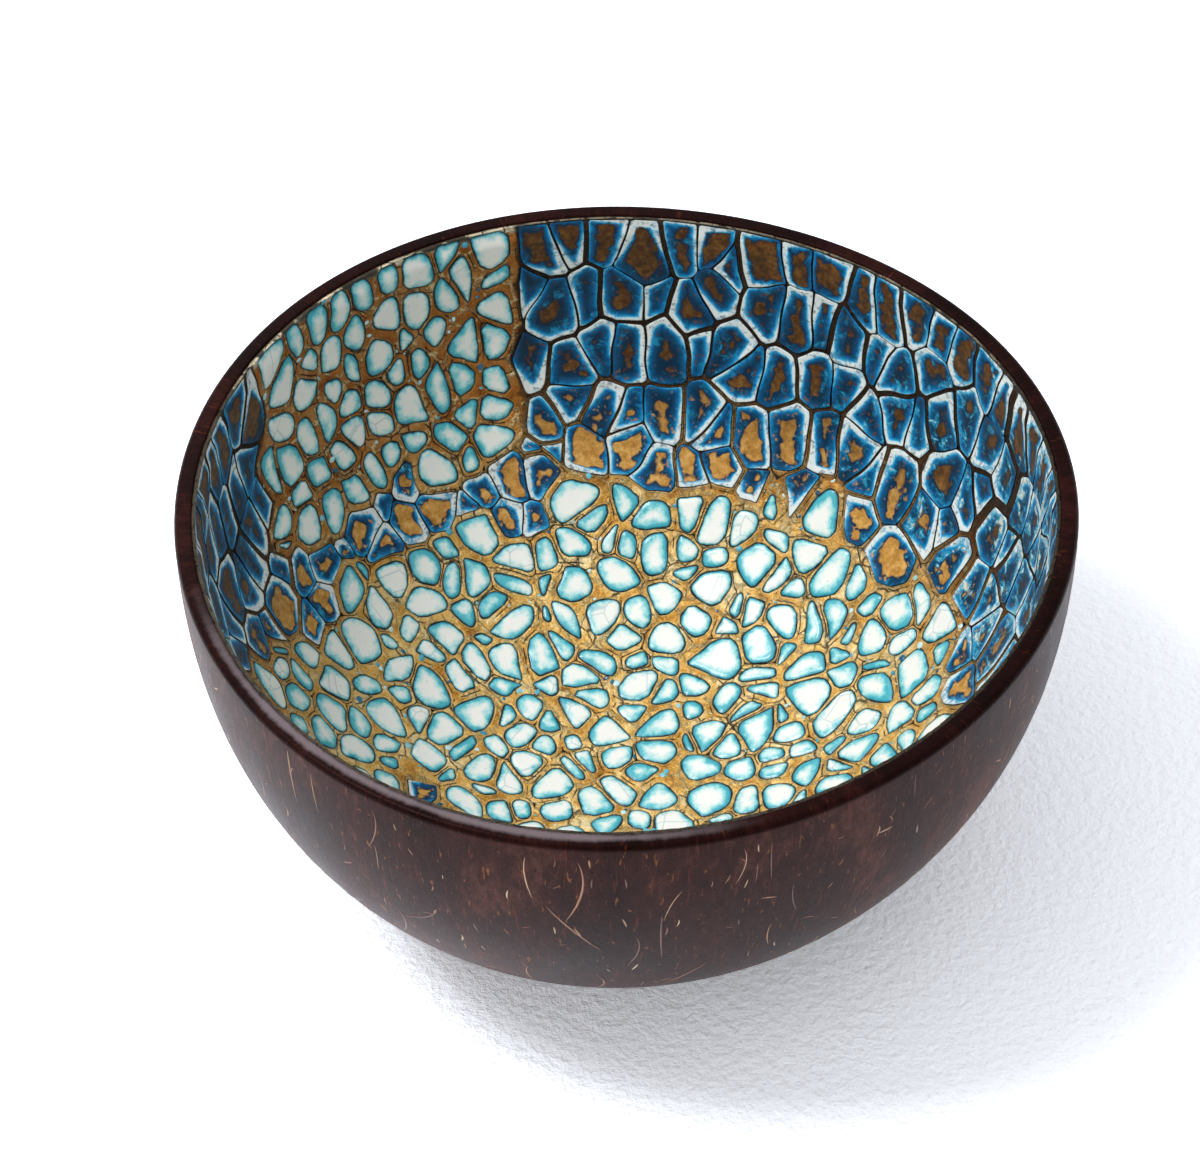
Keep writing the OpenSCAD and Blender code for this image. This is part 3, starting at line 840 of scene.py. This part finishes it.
crack_dark = add(tree, "ShaderNodeMapRange", {
    "Value": crack_edge, "From Min": 0.05, "From Max": 0.2, "To Min": 1, "To Max": 0},
    interpolation_type="SMOOTHSTEP")
shore_edge = add(tree, "ShaderNodeMath", {0: patches, 1: 0.35, 2: to_shore}, operation="MULTIPLY_ADD")
shore_dark = add(tree, "ShaderNodeMapRange", {
    "Value": shore_edge, "From Min": 0.2, "From Max": 0.38, "To Min": 0.9, "To Max": 0},
    interpolation_type="SMOOTHSTEP")
bent_place = add(tree, "ShaderNodeMix", {
    0: 0.0022, 4: body, 5: patches.outputs["Color"]}, data_type="VECTOR")
creases = add(tree, "ShaderNodeTexVoronoi", {
    "Vector": bent_place.outputs[1], "Scale": per(4.2)}, feature="DISTANCE_TO_EDGE")
crease_dark = add(tree, "ShaderNodeMapRange", {
    "Value": creases.outputs["Distance"], "From Min": 0.01, "From Max": 0.035, "To Min": 0.85,
    "To Max": 0}, interpolation_type="SMOOTHSTEP")
crease_some = add(tree, "ShaderNodeMapRange", {
    "Value": patches, "From Min": 0.48, "From Max": 0.58}, interpolation_type="SMOOTHSTEP")
crease_dark = add(tree, "ShaderNodeMath", {0: crease_dark, 1: crease_some}, operation="MULTIPLY")
# A line's lip along a chip carries a painted highlight
lip_painted_highlight = lay_over(tree, gold, "#f3d391", shore_edge, 0.4, 0.52, 0.6, 0)
# Up the wall the gold is darker and browner: painted shade
up = add(tree, "ShaderNodeSeparateXYZ", {0: body})
shaded_up_wall = lay_over(tree, lip_painted_highlight, "#b8885a", up.outputs["Z"], 0.014, 0.042, most=0.9, blend="MULTIPLY")
# Where the lacquer wrinkled as it dried, its folds carry a painted highlight
folds = add(tree, "ShaderNodeTexVoronoi", {
    "Vector": bent_place.outputs[1], "Scale": per(3.6)}, feature="DISTANCE_TO_EDGE")
fold_painted_highlight = add(tree, "ShaderNodeMapRange", {
    "Value": folds.outputs["Distance"], "From Min": 0.01, "From Max": 0.11, "To Min": 0.8, "To Max": 0},
    interpolation_type="SMOOTHSTEP")
fold_some = add(tree, "ShaderNodeMapRange", {
    "Value": brushed, "From Min": 0.42, "From Max": 0.58}, interpolation_type="SMOOTHSTEP")
fold_painted_highlight = add(tree, "ShaderNodeMath", {0: fold_painted_highlight, 1: fold_some}, operation="MULTIPLY")
folded = add(tree, "ShaderNodeMix", {0: fold_painted_highlight, 6: shaded_up_wall, 7: "#f0d79e"}, data_type="RGBA")
rim_level = add(tree, "ShaderNodeMath", {
    0: powder, 1: 0.0012, 2: up.outputs["Z"]}, operation="MULTIPLY_ADD")
rim_dark = add(tree, "ShaderNodeMapRange", {
    "Value": rim_level, "From Min": 0.0648, "From Max": 0.0658, "To Max": 0.93},
    interpolation_type="SMOOTHSTEP")
# Behind, in patches, the dark edge gives way to gold and to the painted glint below
behind = add(tree, "ShaderNodeMapRange", {
    "Value": up.outputs["Y"], "From Min": 0, "From Max": 0.03}, interpolation_type="SMOOTHSTEP")
rim_level = add(tree, "ShaderNodeMath", {0: behind, 1: patches}, operation="MULTIPLY")
rim_some = add(tree, "ShaderNodeMapRange", {
    "Value": rim_level, "From Min": 0.46, "From Max": 0.52, "To Min": 1, "To Max": 0},
    interpolation_type="SMOOTHSTEP")
rim_dark = add(tree, "ShaderNodeMath", {0: rim_dark, 1: rim_some}, operation="MULTIPLY")
# Between the blue chips of the wall the lacquer stayed brown
by_blue = add(tree, "ShaderNodeAttribute", attribute_name="in_blue").outputs["Fac"]
wall = add(tree, "ShaderNodeMapRange", {
    "Value": up.outputs["Z"], "From Min": 0.024, "From Max": 0.044, "To Min": 0.4, "To Max": 0.95},
    interpolation_type="SMOOTHSTEP")
brown = add(tree, "ShaderNodeMath", {0: by_blue, 1: wall}, operation="MULTIPLY")
dark = crack_dark
for other in (shore_dark, crease_dark, rim_dark, brown):
    dark = add(tree, "ShaderNodeMath", {0: dark, 1: other}, operation="MAXIMUM")
# A thin band just under the top edge of the lacquer is painted near white: a painted glint
glint = add(tree, "ShaderNodeMapRange", {
    "Value": up.outputs["Z"], "From Min": 0.0645, "From Max": 0.0653, "To Max": 0.85},
    interpolation_type="SMOOTHSTEP")
glinting = add(tree, "ShaderNodeMix", {0: glint, 6: folded.outputs[2], 7: "#fdf1d2"}, data_type="RGBA")
lined = add(tree, "ShaderNodeMix", {0: dark, 6: glinting.outputs[2], 7: "#1d1007"}, data_type="RGBA")
dull = add(tree, "ShaderNodeMath", {0: dark, 1: glint}, operation="MAXIMUM")
metal = add(tree, "ShaderNodeMapRange", {"Value": dull, "To Min": 0.4, "To Max": 0})
relief = add(tree, "ShaderNodeMath", {0: brushed, 1: crease_dark}, operation="SUBTRACT")
relief = add(tree, "ShaderNodeMath", {0: relief, 1: fold_painted_highlight}, operation="ADD")
relief = add(tree, "ShaderNodeMath", {0: powder, 1: 0.3, 2: relief}, operation="MULTIPLY_ADD")
bump = add(tree, "ShaderNodeBump", {"Height": relief, "Strength": 0.9, "Distance": 0.0004})
shine = add(tree, "ShaderNodeBsdfPrincipled", {
    "Base Color": lined.outputs[2], "Metallic": metal, "Roughness": 0.45, "Normal": bump,
    "Specular IOR Level": 0.2, "Coat Weight": 0.1, "Coat Roughness": 0.12})
add(tree, "ShaderNodeOutputMaterial", {"Surface": shine})
lacquer.data.materials.append(gold_finish)
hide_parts("lacquer_ground")
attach(lacquer, "root")

# The pale chips.
# Hen's eggshell, broken small and pressed into the wet lacquer with the outside up, so that each
# chip stands up a little in its middle. Turquoise lacquer stains the low edge of each one.
# Heights over the bed: the foot of a chip, its edge, and how much its middle stands above that,
# which it does from this far in
chip_foot = 0.04
pale_edge_height = 0.4
pale_crown = 0.2
pale_crown_reach = 0.7
# The rounding of a chip's edge, the share of its outline that its foot has, and how unevenly it lies
edge_round = 0.07
foot_share = 0.99
uneven_lay = 0.02
# A chip's mesh is rings of points, each this share of the way in from its outline
ring_shares = np.array([0, 0.04, 0.1, 0.18, 0.28, 0.41, 0.57, 0.78])


def chip_mesh(name, group, edge_height, crown, crown_reach, seed, worn=0):
    """All chips of a field as one mesh of closed solids, with what the finish needs at each point."""
    draw = np.random.default_rng(seed)
    points, triangles, edges, tones, sides = [], [], [], [], []
    base = 0
    for chip in group:
        count = len(chip.outline)
        flat = np.concatenate([chip.outline * (1 - share) for share in ring_shares] + [np.zeros((1, 2))])
        far = np.maximum(-signed_distance(flat, chip.outline), 0)
        far[:count] = 0
        turn, lean = draw.uniform(0, 2 * np.pi), draw.uniform(0.3, 1.2)
        radius = np.hypot(*chip.outline.T).mean()
        side = (flat @ [np.cos(turn), np.sin(turn)]) / radius * lean
        tilt = draw.normal(0, uneven_lay)
        high = edge_height + crown * smooth(far, 0, crown_reach) + tilt * side
        high -= edge_round * (1 - smooth(far, 0, edge_round))
        under = np.concatenate([chip.outline * foot_share, np.zeros((1, 2))])
        places = np.concatenate([chip.placed(flat), chip.placed(under)])
        points.append(on_bowl(places, np.concatenate([high, np.full(count + 1, chip_foot)])))
        numbers = base + np.arange(len(ring_shares) * count).reshape(-1, count)
        centre = base + len(flat) - 1
        foot_ring = base + len(flat) + np.arange(count)
        foot_centre = base + len(flat) + count
        for outer, inner in zip(numbers, numbers[1:]):
            triangles.append(strip(outer, inner))
        last = numbers[-1]
        triangles.append(np.stack([last, np.roll(last, -1), np.full(count, centre)], 1))
        triangles.append(strip(foot_ring, numbers[0]))
        triangles.append(np.stack([np.roll(foot_ring, -1), foot_ring, np.full(count, foot_centre)], 1))
        edges.append(np.concatenate([far, np.zeros(count + 1)]))
        sides.append(np.concatenate([side, np.zeros(count + 1)]))
        tones.append(np.full(len(flat) + count + 1, draw.uniform()))
        base += len(flat) + count + 1
    return new_piece(name, np.concatenate(points), np.concatenate(triangles), {
        "edge": np.concatenate(edges), "tone": np.concatenate(tones), "side": np.concatenate(sides),
        "worn": np.full(base, float(worn))})


# Pale eggshell: chalk white and slightly creamy where it stands up, through light turquoise to a thin
# line of deep blue at its edge, glossy from the clear coat.
pale_finish, tree = new_finish("pale_eggshell_in_lacquer")
body = add(tree, "ShaderNodeTexCoord").outputs["Object"]
to_edge, chip_tone, chip_side = (
    add(tree, "ShaderNodeAttribute", attribute_name=name).outputs["Fac"]
    for name in ("edge", "tone", "side"))
stain = add(tree, "ShaderNodeTexNoise", {"Vector": body, "Scale": per(2.1), "Detail": 6, "Roughness": 0.62})
stain_shift = add(tree, "ShaderNodeMath", {0: stain, 1: 3.4, 2: -1.75}, operation="MULTIPLY_ADD")
depth = add(tree, "ShaderNodeMath", {0: to_edge, 1: stain_shift}, operation="ADD")
depth = add(tree, "ShaderNodeMath", {0: chip_side, 1: 0.45, 2: depth}, operation="MULTIPLY_ADD")
tone_shift = add(tree, "ShaderNodeMapRange", {"Value": chip_tone, "To Min": -0.5, "To Max": 0.35})
depth = add(tree, "ShaderNodeMath", {0: depth, 1: tone_shift}, operation="ADD")
depth = add(tree, "ShaderNodeMath", {0: depth, 1: 0.62}, operation="MULTIPLY")
white = add(tree, "ShaderNodeValToRGB", {"Fac": depth}, stops=[
    (0.0, "#45b3c2"), (0.12, "#6ecad2"), (0.28, "#9ad9dc"), (0.46, "#c5e8e7"), (0.64, "#e4f1ec"),
    (0.85, "#f6f6ef")])
# A few chips are cracked across, and the lacquer went into the cracks
folds = add(tree, "ShaderNodeTexVoronoi", {"Vector": body, "Scale": per(4)}, feature="DISTANCE_TO_EDGE")
fold_mask = add(tree, "ShaderNodeMapRange", {
    "Value": folds.outputs["Distance"], "From Min": 0.006, "From Max": 0.04, "To Min": 0.35, "To Max": 0},
    interpolation_type="SMOOTHSTEP")
fold_some = add(tree, "ShaderNodeMapRange", {
    "Value": chip_tone, "From Min": 0.84, "From Max": 0.86}, interpolation_type="SMOOTHSTEP")
fold_mask = add(tree, "ShaderNodeMath", {0: fold_mask, 1: fold_some}, operation="MULTIPLY")
white = add(tree, "ShaderNodeMix", {0: fold_mask, 6: white, 7: "#4f9fb0"}, data_type="RGBA")
# The line along the edge is uneven
line_shift = add(tree, "ShaderNodeMath", {0: stain, 1: 0.6, 2: -0.33}, operation="MULTIPLY_ADD")
line_place = add(tree, "ShaderNodeMath", {0: to_edge, 1: line_shift}, operation="ADD")
rim_line = add(tree, "ShaderNodeValToRGB", {"Fac": line_place}, stops=[
    (0.0, "#08161c"), (0.05, "#155064"), (0.13, "#62bdd0"), (0.36, "#ffffff")])
ringed = add(tree, "ShaderNodeMix", {
    0: 1.0, 6: white.outputs[2], 7: rim_line}, data_type="RGBA", blend_type="MULTIPLY")
freckle = add(tree, "ShaderNodeTexNoise", {"Vector": body, "Scale": per(0.5), "Detail": 2})
freckled = lay_over(tree, ringed.outputs[2], "#4a8fa0", freckle, 0.7, 0.78, most=0.6)
bump = add(tree, "ShaderNodeBump", {"Height": stain, "Strength": 0.25, "Distance": 0.0001})
shine = add(tree, "ShaderNodeBsdfPrincipled", {
    "Base Color": freckled, "Roughness": 0.4, "Normal": bump, "Coat Weight": 0.3, "Coat Roughness": 0.08})
add(tree, "ShaderNodeOutputMaterial", {"Surface": shine})

for number, node in enumerate(pale_nodes):
    piece = chip_mesh(
        node.replace("tesserae", "chips"), chips[node], pale_edge_height, pale_crown, pale_crown_reach,
        100 + number)
    piece.data.materials.append(pale_finish)
    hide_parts(node)
    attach(piece, "root")

# The crumbs.
# Eggshell dust and crumbs that were swept up with the chips and stuck in the lacquer between them.
crumb_count = 260
crumb_size = 1.25
crumb_seed = 3
# How far from the nearest chip a crumb lies at least, and its height as a share of its width
crumb_room = 0.42
crumb_height = 0.18


def crumb_rule():
    """Scatters rounded crumbs over the lacquer, clear of the chips and the blue fields."""
    made, given = new_rule("eggshell_crumbs", {
        "Count": "Int", "Size": "Float", "Clear": "Float", "Seed": "Int", "Crumb": "Material"})
    room = add(made, "GeometryNodeInputNamedAttribute", {"Name": "shore"}, data_type="FLOAT")
    blue = add(made, "GeometryNodeInputNamedAttribute", {"Name": "in_blue"}, data_type="FLOAT")
    clear = add(made, "FunctionNodeCompare", {0: room, 1: given["Clear"]}, operation="GREATER_THAN")
    pale = add(made, "FunctionNodeCompare", {0: blue, 1: 0.5}, operation="LESS_THAN")
    there = add(made, "FunctionNodeBooleanMath", {0: clear, 1: pale}, operation="AND")
    bare = add(made, "GeometryNodeSeparateGeometry", {
        "Geometry": given["Geometry"], "Selection": there}, domain="FACE")
    spots = strewn(made, bare, given)
    ball = add(made, "GeometryNodeMeshIcoSphere", {"Radius": 0.5, "Subdivisions": 2})
    round_ball = add(made, "GeometryNodeSetShadeSmooth", {0: ball})
    size = add(made, "FunctionNodeRandomValue", {2: 0.35, 3: 1.0, "Seed": 21}, data_type="FLOAT")
    long = add(made, "FunctionNodeRandomValue", {2: 0.6, 3: 1.0, "Seed": 22}, data_type="FLOAT")
    turn = add(made, "FunctionNodeRandomValue", {2: 0.0, 3: 6.28, "Seed": 23}, data_type="FLOAT")
    across = add(made, "ShaderNodeMath", {0: size.outputs[1], 1: given["Size"]}, operation="MULTIPLY")
    narrow = add(made, "ShaderNodeMath", {0: across, 1: long.outputs[1]}, operation="MULTIPLY")
    high = add(made, "ShaderNodeMath", {0: across, 1: crumb_height}, operation="MULTIPLY")
    scale = add(made, "ShaderNodeCombineXYZ", {0: across, 1: narrow, 2: high})
    lay = add(made, "FunctionNodeAlignRotationToVector", {"Vector": spots["Normal"]}, axis="Z")
    spin = add(made, "FunctionNodeAxisAngleToRotation", {"Axis": (0, 0, 1), "Angle": turn.outputs[1]})
    turned = add(made, "FunctionNodeRotateRotation", {
        "Rotation": lay, "Rotate By": spin}, rotation_space="LOCAL")
    laid = add(made, "GeometryNodeInstanceOnPoints", {
        "Points": spots["Points"], "Instance": round_ball, "Rotation": turned, "Scale": scale})
    shade = add(made, "FunctionNodeRandomValue", {2: 0.0, 3: 1.0, "Seed": 24}, data_type="FLOAT")
    marked = add(made, "GeometryNodeStoreNamedAttribute", {
        "Geometry": laid, "Name": "shade", "Value": shade.outputs[1]}, data_type="FLOAT", domain="INSTANCE")
    real = add(made, "GeometryNodeRealizeInstances", {0: marked})
    painted = add(made, "GeometryNodeSetMaterial", {"Geometry": real, "Material": given["Crumb"]})
    add(made, "NodeGroupOutput", {0: painted})
    return made


# Stained eggshell crumbs: from deep blue through turquoise to near white, under the clear coat.
crumb_finish, tree = new_finish("stained_eggshell_crumbs")
shade = add(tree, "ShaderNodeAttribute", attribute_name="shade").outputs["Fac"]
body = add(tree, "ShaderNodeTexCoord").outputs["Object"]
mottle = add(tree, "ShaderNodeTexNoise", {"Vector": body, "Scale": per(0.5), "Detail": 2})
level = add(tree, "ShaderNodeMath", {0: mottle, 1: 0.4, 2: shade}, operation="MULTIPLY_ADD")
stained = add(tree, "ShaderNodeValToRGB", {"Fac": level}, stops=[
    (0.2, "#123a58"), (0.42, "#1f86a8"), (0.7, "#5fc0d2"), (1, "#c9e8ea")])
shine = add(tree, "ShaderNodeBsdfPrincipled", {
    "Base Color": stained, "Roughness": 0.4, "Coat Weight": 0.3, "Coat Roughness": 0.08})
add(tree, "ShaderNodeOutputMaterial", {"Surface": shine})
crumbs = grown_by(lacquer, crumb_rule(), "eggshell_crumbs", crumb_finish, {
    "Count": crumb_count, "Size": crumb_size / 1000, "Clear": crumb_room, "Seed": crumb_seed,
    "Crumb": crumb_finish})
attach(crumbs, "root")

# The blue chips.
# The same eggshell with the hollow side up, flooded with blue lacquer and rubbed back: the white
# edge of each chip stands out, and the lacquer stays deep in its hollow, with gold under the blue.
blue_edge_height = 0.54
blue_dish = -0.16
blue_dish_reach = 1.6
# How much of a field's blue is worn off
worn_shares = {"blue_right_tesserae": 0.8, "blue_band_tesserae": 0.5}

# Blue eggshell: a white edge, then light blue, blue and navy as the hollow deepens, and patches of
# gold or brown where the ground shows in the middle.
blue_finish, tree = new_finish("blue_eggshell_in_lacquer")
body = add(tree, "ShaderNodeTexCoord").outputs["Object"]
to_edge, chip_tone, chip_side, worn_field = (
    add(tree, "ShaderNodeAttribute", attribute_name=name).outputs["Fac"]
    for name in ("edge", "tone", "side", "worn"))
up = add(tree, "ShaderNodeSeparateXYZ", {0: body})
worn_right = add(tree, "ShaderNodeMapRange", {
    "Value": up.outputs["X"], "From Min": 0.02, "From Max": 0.05, "To Max": 0.6},
    interpolation_type="SMOOTHSTEP")
worn = add(tree, "ShaderNodeMath", {0: worn_field, 1: worn_right}, operation="MAXIMUM")
wash = add(tree, "ShaderNodeTexNoise", {
    "Vector": body, "Scale": per(1.6), "Detail": 5, "Roughness": 0.6, "Distortion": 0.4})
depth = to_edge
for level, share in ((wash, 0.8), (worn, -0.12), (chip_side, 1.1)):
    depth = add(tree, "ShaderNodeMath", {0: level, 1: share, 2: depth}, operation="MULTIPLY_ADD")
shallow = add(tree, "ShaderNodeMath", {0: depth, 1: 0.4}, operation="SUBTRACT")
halved = add(tree, "ShaderNodeMath", {0: shallow, 1: 0.5}, operation="MULTIPLY")
flood = add(tree, "ShaderNodeValToRGB", {"Fac": halved}, stops=[
    (0.0, "#e2e8e6"), (0.06, "#c9e2ea"), (0.13, "#7cc6e3"), (0.22, "#229bd0"), (0.35, "#0a6da6"),
    (0.5, "#075280"), (0.75, "#073f61"), (1.0, "#062f4a")])
# Cyan clouds and navy spots in the blue
clouds = add(tree, "ShaderNodeTexNoise", {
    "Vector": body, "Scale": per(2.6), "Detail": 5, "Roughness": 0.7, "Distortion": 0.5})
cloud_level = add(tree, "ShaderNodeMath", {0: worn, 1: 0.06, 2: clouds}, operation="MULTIPLY_ADD")
blue = lay_over(tree, flood, "#1f94c2", cloud_level, 0.53, 0.67, most=0.75)
spots = add(tree, "ShaderNodeTexNoise", {"Vector": body, "Scale": per(0.9), "Detail": 3, "Roughness": 0.6})
blue = lay_over(tree, blue, "#053049", spots, 0.53, 0.66, most=0.6)
# Where the field is worn, cream shell shows through in patches
wear = add(tree, "ShaderNodeMath", {0: worn, 1: 0.19, 2: clouds}, operation="MULTIPLY_ADD")
for start, end, colour in ((0.66, 0.74, "#3da4c8"), (0.73, 0.79, "#e3e0c8")):
    blue = lay_over(tree, blue, colour, wear, start, end, most=0.85)
# Gold or brown patches: more in some chips than in others, and more of them low and high on the wall.
# A patch keeps off the side with the white edge, and runs out at the other
one_side = add(tree, "ShaderNodeMath", {0: chip_side, 1: 0.5, 2: to_edge}, operation="MULTIPLY_ADD")
patch = add(tree, "ShaderNodeTexNoise", {
    "Vector": body, "Scale": per(2.2), "Detail": 1.5, "Distortion": 0.3})
patch_level = patch
for level, share in ((one_side, 0.25), (chip_tone, 0.2), (worn, -0.1)):
    patch_level = add(tree, "ShaderNodeMath", {0: level, 1: share, 2: patch_level}, operation="MULTIPLY_ADD")
low_more = add(tree, "ShaderNodeMapRange", {
    "Value": up.outputs["Z"], "From Min": 0.027, "From Max": 0.036, "To Min": 0.16, "To Max": -0.08},
    interpolation_type="SMOOTHSTEP")
high_more = add(tree, "ShaderNodeMapRange", {
    "Value": up.outputs["Z"], "From Min": 0.052, "From Max": 0.059, "To Max": 0.24},
    interpolation_type="SMOOTHSTEP")
for more in (low_more, high_more):
    patch_level = add(tree, "ShaderNodeMath", {0: patch_level, 1: more}, operation="ADD")
inner = add(tree, "ShaderNodeMapRange", {
    "Value": one_side, "From Min": 0.4, "From Max": 0.9}, interpolation_type="SMOOTHSTEP")
patch_rim = add(tree, "ShaderNodeMapRange", {
    "Value": patch_level, "From Min": 0.92, "From Max": 1.08}, interpolation_type="SMOOTHSTEP")
patch_rim = add(tree, "ShaderNodeMath", {0: patch_rim, 1: inner}, operation="MULTIPLY")
patch_mask = add(tree, "ShaderNodeMapRange", {
    "Value": patch_level, "From Min": 1.04, "From Max": 1.15}, interpolation_type="SMOOTHSTEP")
speck_mask = add(tree, "ShaderNodeMapRange", {
    "Value": spots, "From Min": 0.33, "From Max": 0.41, "To Min": 0.85, "To Max": 0},
    interpolation_type="SMOOTHSTEP")
patch_mask = add(tree, "ShaderNodeMath", {0: patch_mask, 1: speck_mask}, operation="MAXIMUM")
patch_mask = add(tree, "ShaderNodeMath", {0: patch_mask, 1: inner}, operation="MULTIPLY")
grains = add(tree, "ShaderNodeTexNoise", {
    "Vector": body, "Scale": per(1.4), "Detail": 6, "Roughness": 0.75})
# Low on the wall a patch is gold and high up it is brown: partly the ground's own colour, partly painted
# shade
low_gold = add(tree, "ShaderNodeValToRGB", {"Fac": grains}, stops=[
    (0.35, "#a06f2e"), (0.5, "#c79146"), (0.65, "#e0b268")])
high_brown = add(tree, "ShaderNodeValToRGB", {"Fac": grains}, stops=[
    (0.35, "#38210f"), (0.5, "#573719"), (0.65, "#7a5325")])
how_high = add(tree, "ShaderNodeMapRange", {
    "Value": up.outputs["Z"], "From Min": 0.026, "From Max": 0.042}, interpolation_type="SMOOTHSTEP")
patch_gold = add(tree, "ShaderNodeMix", {0: how_high, 6: low_gold, 7: high_brown}, data_type="RGBA")
rimmed = add(tree, "ShaderNodeMix", {0: patch_rim, 6: blue, 7: "#0b2740"}, data_type="RGBA")
patched = add(tree, "ShaderNodeMix", {
    0: patch_mask, 6: rimmed.outputs[2], 7: patch_gold.outputs[2]}, data_type="RGBA")
edge_line = add(tree, "ShaderNodeValToRGB", {"Fac": to_edge}, stops=[
    (0.0, "#1a1d22"), (0.045, "#8f9a9c"), (0.09, "#ffffff")])
ringed = add(tree, "ShaderNodeMix", {
    0: 1.0, 6: patched.outputs[2], 7: edge_line}, data_type="RGBA", blend_type="MULTIPLY")
bump = add(tree, "ShaderNodeBump", {"Height": wash, "Strength": 0.4, "Distance": 0.00015})
shine = add(tree, "ShaderNodeBsdfPrincipled", {
    "Base Color": ringed.outputs[2], "Roughness": 0.42, "Normal": bump, "Specular IOR Level": 0.18,
    "Coat Weight": 0.08, "Coat Roughness": 0.08})
add(tree, "ShaderNodeOutputMaterial", {"Surface": shine})

for number, node in enumerate(blue_nodes):
    piece = chip_mesh(
        node.replace("tesserae", "chips"), chips[node], blue_edge_height, blue_dish, blue_dish_reach,
        200 + number, worn=worn_shares.get(node, 0))
    piece.data.materials.append(blue_finish)
    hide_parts(node)
    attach(piece, "root")

# The studio.
# A sheet of white paper with a fine tooth, in a white room. A small soft lamp stands high on the
# left, a wide one hangs above, and two weak ones stand low on the left and in front.
floor = new_object("paper", bpy.data.meshes.new("paper"))
paper_half = 3
floor.data.from_pydata(
    [(x * paper_half, y * paper_half, 0) for x, y in ((-1, -1), (1, -1), (1, 1), (-1, 1))],
    [], [(0, 1, 2, 3)])
paper, tree = new_finish("white_paper")
sight = add(tree, "ShaderNodeLightPath")
seen = add(tree, "ShaderNodeMath", {
    0: sight.outputs["Is Camera Ray"], 1: sight.outputs["Is Glossy Ray"]}, operation="MAXIMUM")
seen = add(tree, "ShaderNodeMath", {0: seen, 1: sight.outputs["Is Transmission Ray"]}, operation="MAXIMUM")
lift = add(tree, "ShaderNodeMath", {0: seen, 1: 0.075}, operation="MULTIPLY")
place = add(tree, "ShaderNodeTexCoord").outputs["Object"]
tooth = add(tree, "ShaderNodeTexNoise", {"Vector": place, "Scale": per(1.5), "Detail": 5, "Roughness": 0.6})
bump = add(tree, "ShaderNodeBump", {"Height": tooth, "Strength": 1.0, "Distance": 0.0007})
matt = add(tree, "ShaderNodeBsdfDiffuse", {"Color": "#dfe2e8", "Normal": bump})
glow = add(tree, "ShaderNodeEmission", {"Color": (1, 1, 1, 1), "Strength": lift})
both = add(tree, "ShaderNodeAddShader", {0: matt, 1: glow})
# To the camera and in reflections the paper is more than white, as in a picture exposed for the dark shell
bright = add(tree, "ShaderNodeBsdfDiffuse", {"Color": "#eef3fd", "Normal": bump})
more = add(tree, "ShaderNodeMixShader", {0: seen, 2: bright})
both = add(tree, "ShaderNodeAddShader", {0: both, 1: more})
add(tree, "ShaderNodeOutputMaterial", {"Surface": both})
floor.data.materials.append(paper)

world = bpy.data.worlds.new("white_room")
bpy.context.scene.world = world
world.use_nodes = True
tree = world.node_tree
tree.nodes.clear()
sight = add(tree, "ShaderNodeLightPath")
strength = add(tree, "ShaderNodeMapRange", {
    "Value": sight.outputs["Is Camera Ray"], "To Min": 0.54, "To Max": 1.0})
room = add(tree, "ShaderNodeBackground", {"Color": (1, 1, 1, 1), "Strength": strength})
add(tree, "ShaderNodeOutputWorld", {"Surface": room})


def lamp(name, place, aim, side, power):
    """A square soft lamp that looks at a point."""
    light = bpy.data.lights.new(name, "AREA")
    light.size = side
    light.energy = power
    held = new_object(name, light)
    held.location = place
    held.rotation_euler = (Vector(aim) - Vector(place)).to_track_quat("-Z", "Y").to_euler()
    return held


bowl_middle = (0, 0, 0.03)
lamp("key", (-0.47, -0.04, 0.87), bowl_middle, 0.3, 6.4)
lamp("sky", (0, 0, 1.1), bowl_middle, 1.1, 1.3)
lamp("fill", (-0.88, -0.42, 0.22), bowl_middle, 0.6, 1.3)
lamp("front", (0.1, -0.9, 0.6), bowl_middle, 1.0, 0.5)
# This one only gives the gloss of the rim and the lines, as a white wall behind the bowl does
lamp("wall", (-0.35, 0.85, 0.95), (0, 0, 0.06), 0.45, 2).visible_diffuse = False

# The camera, from a fit to the outline of the rim and the body in the photograph
view_target = Vector((-0.0034, 0, 0.0501))
view_elevation = np.radians(46.05)
view_roll = np.radians(-1.04)
view_distance = 0.638
focal_pixels = 4409
picture_width = 1200
sensor_width = 36
camera_data = bpy.data.cameras.new("camera")
camera_data.sensor_width = sensor_width
camera_data.sensor_fit = "HORIZONTAL"
camera_data.lens = sensor_width * focal_pixels / picture_width
camera_data.clip_start = 0.01
camera = new_object("camera", camera_data)
back = Vector((0, -np.cos(view_elevation), np.sin(view_elevation)))
tilt = Matrix.Rotation(np.pi / 2 - view_elevation, 4, "X")
roll = Matrix.Rotation(view_roll, 4, "Z")
camera.matrix_world = Matrix.Translation(view_target + back * view_distance) @ tilt @ roll
bpy.context.scene.camera = camera
bpy.context.scene.view_settings.view_transform = "Standard"

bpy.context.view_layer.update()
